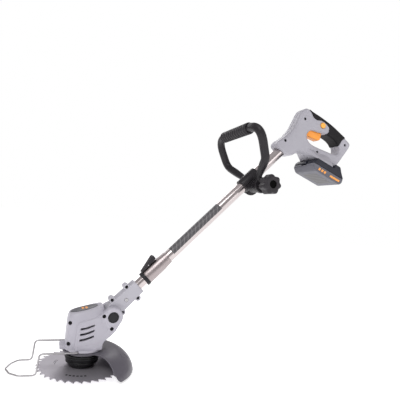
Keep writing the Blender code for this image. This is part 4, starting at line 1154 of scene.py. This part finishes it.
def knob():
    lobes, count = 7, 168
    levels = ([(-45 - 0.1, 0.80), (-46.2, 0.9), (-47.2, 0.96), (-48.6, 1.0), (-64.5, 1.0)]
              + [(-64.5 - 5.5 * math.sin(math.radians(a)), 1 - 0.14 * (1 - math.cos(math.radians(a))))
                 for a in (20, 40, 60, 75, 90)] + [(-70.6, 0.80), (-71.0, 0.72)])
    rings = []
    for y, reach in levels:
        points = []
        for k in range(count):
            turn = 2 * math.pi * k / count
            wave = math.cos(lobes * turn)
            r = (18.9 + 1.6 * wave) * reach
            points.append((min(20.5, r) * math.cos(turn), y, min(20.5, r) * math.sin(turn)))
        rings.append(points)
    body = join(skin(rings, "knob"), turned(rod(7, -47, -31.4, "hub", 48, 0.5), "Y"))
    body = cut(body, turned(rod(3.6, -63, -20, "bolt", 24), "Y"),
               turned(rod(8.0, -80, -67.5, "recess", 64), "Y"))
    moulded(body, 0.5, 2)
    place(body, "clamp_hand_knob", KNOB_BLACK, CLAMP, "knob",
          ["clamp_knob"], 0)
    cap = eased([(0, -69.0), (7.6, -69.0), (7.6, -67.8), (0, -67.8)], 0.4)
    cap = cut(lathe(cap, "cap", 64), rod(3.2, -72, -68.5, "dimple", 32))
    # The cap's colour is its own black plus painted shade of the knob's recess.
    place(turned(cap, "Y"), "knob_cover", CAP_BLACK_AND_RECESS_SHADE, CLAMP, "knob",
          ["knob_cap"])


# ---------------------------------------------------------------- battery
CASE_SPLIT = 15.0
BATTERY_HALF = 36.0


def battery():
    side = [(-36, 0), (36, 0), (41, 6), (41, 17), (31, 28), (24, 38), (9.5, 38), (9.0, 28.5),
            (-40, 28.5), (-45.5, 19), (-45.5, 9)]
    half = BATTERY_HALF
    case = rounded_slab(eased(side, 3.2, 4), -half, half, 1.9, "case")
    case = join(case, box((-22, -13, 20), (12, 13, 31), "rail"))
    inside = [(-37, 2.0), (35, 2.0), (38, 6), (38, 16), (29, 26.5), (22.5, 36), (11.5, 36),
              (11.5, 26.5), (-38, 26.5), (-42.5, 18), (-42.5, 9)]
    case = cut(case, slab(inside, [(-half + 2.2, 0), (half - 2.2, 0)], "inside"),
               box((-60, -9.3, 12), (-39, 9.3, 25.5), "latch_window"))
    for end in (-1, 1):
        for k in range(4):
            y = end * (14.0 + 5.0 * k)
            low, high = sorted((y, y + end * 1.4))
            case = cut(case, box((-50, low, 8), (-44.7, high, 22), "rib_gap"))
        low, high = sorted((end * (half - 0.6), end * (half + 5)))
        panel = rounded_panel(-34, 34, 3.5, 12.2)
        case = cut(case, slab(panel, [(low, 0), (high, 0)], "panel"))
    top = copy_of(case)
    cut(case, box((-80, -60, CASE_SPLIT), (80, 60, 60), "above"))
    cut(top, box((-80, -60, -20), (80, 60, CASE_SPLIT + GAP), "below"))
    for piece, mat, part, slot in ((case, CASE_GREY, "bottom", "battery_grey"),
                                   (top, CASE_BLACK, "top", "battery_plastic")):
        moulded(piece, 0.6, 2)
        place(piece, f"battery_shell_{part}", mat, BATTERY, "battery",
              [f"battery_case_{part}"], 0)
    latch = [(-48.5, 14.5), (-45, 14.2), (-40.5, 14.2), (-40.5, 24.5), (-43.5, 24.5),
             (-48.5, 17.5)]
    lever = rounded_slab(eased(latch, 1.2), -9, 9, 0.6, "latch")
    place(lever, "battery_release", CASE_BLACK, BATTERY, "latch",
          ["battery_latch"])
    battery_print()


def rounded_panel(low_x, high_x, low_z, high_z):
    return eased([(low_x, low_z), (high_x, low_z), (high_x, high_z), (low_x, high_z)], 2.0, 4)


def battery_print():
    """Plain orange bars on the sides and a plain film under the battery."""
    bars = []
    face = BATTERY_HALF - 0.62
    for low_x, high_x, low_z, high_z in ((4, 32, 4.8, 9.2), (-30, -25, 5, 10.6),
                                         (-22, -17, 5, 10.6), (-14, -9, 5, 10.6)):
        shape = [(low_x, low_z), (high_x, low_z), (high_x + 1.6, high_z), (low_x + 1.6, high_z)]
        for end in (-1, 1):
            levels = sorted([(end * face, 0), (end * (face + 0.2), 0)])
            bars.append(slab(shape, levels, "bar"))
    place(joined(bars), "battery_bars", INK_ORANGE, BATTERY, "battery")
    film = box((-24, -22, -0.12), (24, 22, 0.3), "film")
    place(film, "battery_film", LABEL_FILM, BATTERY, "battery")


# ---------------------------------------------------------------- carried CAD nodes
def carried_nodes():
    """Pieces inside the casings stay as the CAD made them, with their own materials."""
    for names, mat in ((("trigger_pin", "rocker_pin", "pivot_axle", "motor_shaft",
                         "shaft_bearing"), STEEL),
                       (("trigger_switch", "terminal_block", "motor_end_cap"), CAP_BLACK),
                       (("motor_can",), COPPER_CAN), (("motor_rotor",), SCREW_BLACK),
                       (("lock_pad",), BRASS), (("battery_cells",), CELL_BLUE)):
        for name in names:
            node = frame["nodes"][name]
            node.data.materials.clear()
            node.data.materials.append(mat)


# ---------------------------------------------------------------- floor, light and camera
def floor():
    bpy.ops.mesh.primitive_circle_add(vertices=96, radius=12.0, fill_type="NGON",
                                      location=(0.2, 0.2, -0.0012))
    ground = bpy.context.object
    ground.name = "floor"
    m = Nodes("pale_floor").set(Roughness=0.75)
    m.colour(m.ramp(m.noise(3.0, 4.0), 0.90, 0.93))
    m.shader.inputs["Emission Color"].default_value = (1, 1, 1, 1)
    m.shader.inputs["Emission Strength"].default_value = 0.62
    ground.data.materials.append(m.mat)


def area_light(name, at, look_at, size, power, colour=(1, 1, 1)):
    data = bpy.data.lights.new(name, "AREA")
    data.shape = "RECTANGLE"
    data.size, data.size_y = size
    data.energy = power
    data.color = colour
    obj = bpy.data.objects.new(name, data)
    obj.location = at
    obj.rotation_euler = (Vector(look_at) - Vector(at)).to_track_quat("-Z", "Y").to_euler()
    bpy.context.scene.collection.objects.link(obj)


def studio():
    world = bpy.data.worlds.new("studio")
    bpy.context.scene.world = world
    world.use_nodes = True
    tree = world.node_tree
    back = tree.nodes["Background"]
    path = tree.nodes.new("ShaderNodeLightPath")
    coords = tree.nodes.new("ShaderNodeTexCoord")
    split = tree.nodes.new("ShaderNodeSeparateXYZ")
    tree.links.new(coords.outputs["Generated"], split.inputs[0])
    ramp = tree.nodes.new("ShaderNodeValToRGB")
    ramp.color_ramp.elements[0].color = (0.34, 0.32, 0.33, 1)
    ramp.color_ramp.elements[1].color = (0.56, 0.55, 0.56, 1)
    tree.links.new(split.outputs["Z"], ramp.inputs["Fac"])
    mix = tree.nodes.new("ShaderNodeMix")
    mix.data_type = "RGBA"
    tree.links.new(path.outputs["Is Camera Ray"], mix.inputs[0])
    tree.links.new(ramp.outputs["Color"], mix.inputs[6])
    mix.inputs[7].default_value = (1, 1, 1, 1)
    tree.links.new(mix.outputs[2], back.inputs["Color"])
    back.inputs["Strength"].default_value = 1.0
    middle = (0.2, 0.0, 0.28)
    area_light("key", (-0.9, -1.1, 1.7), middle, (1.2, 0.9), 16)
    area_light("fill", (1.3, -1.3, 0.7), middle, (0.9, 0.9), 4)
    area_light("rim", (0.3, 1.4, 1.2), middle, (1.6, 0.5), 7)


def camera():
    """At the user's left front, low over the floor, rolled a little."""
    turn, rise, roll = math.radians(-21.69), math.radians(-3.06), math.radians(6.13)
    back = Vector((math.sin(turn) * math.cos(rise), -math.cos(turn) * math.cos(rise),
                   math.sin(rise)))
    right = Vector((math.cos(turn), math.sin(turn), 0))
    up = back.cross(right)
    x = right * math.cos(roll) + up * math.sin(roll)
    y = up * math.cos(roll) - right * math.sin(roll)
    data = bpy.data.cameras.new("camera")
    data.lens, data.sensor_width = 33.507, 36.0
    obj = bpy.data.objects.new("camera", data)
    obj.matrix_world = (Matrix.Translation((-0.0838, -0.6918, 0.2836))
                        @ Matrix((x, y, back)).transposed().to_4x4())
    bpy.context.scene.collection.objects.link(obj)
    bpy.context.scene.camera = obj


CLAMP_ALONG = (CLAMP.translation - SHAFT.translation).dot(SHAFT_DIR)
BOLT_BELOW = (CLAMP.translation - SHAFT.translation).dot(SHAFT_UP)

bpy.context.scene.view_settings.view_transform = "Standard"
camera()
studio()
floor()
handle_shells()
grip_overmould()
trigger_parts()
shaft_tubes()
lock_rocker()
arm_bracket()
motor_housing()
pivot_parts()
guard()
saw_blade()
wire_guard()
side_handle()
clamp()
knob()
battery()
carried_nodes()
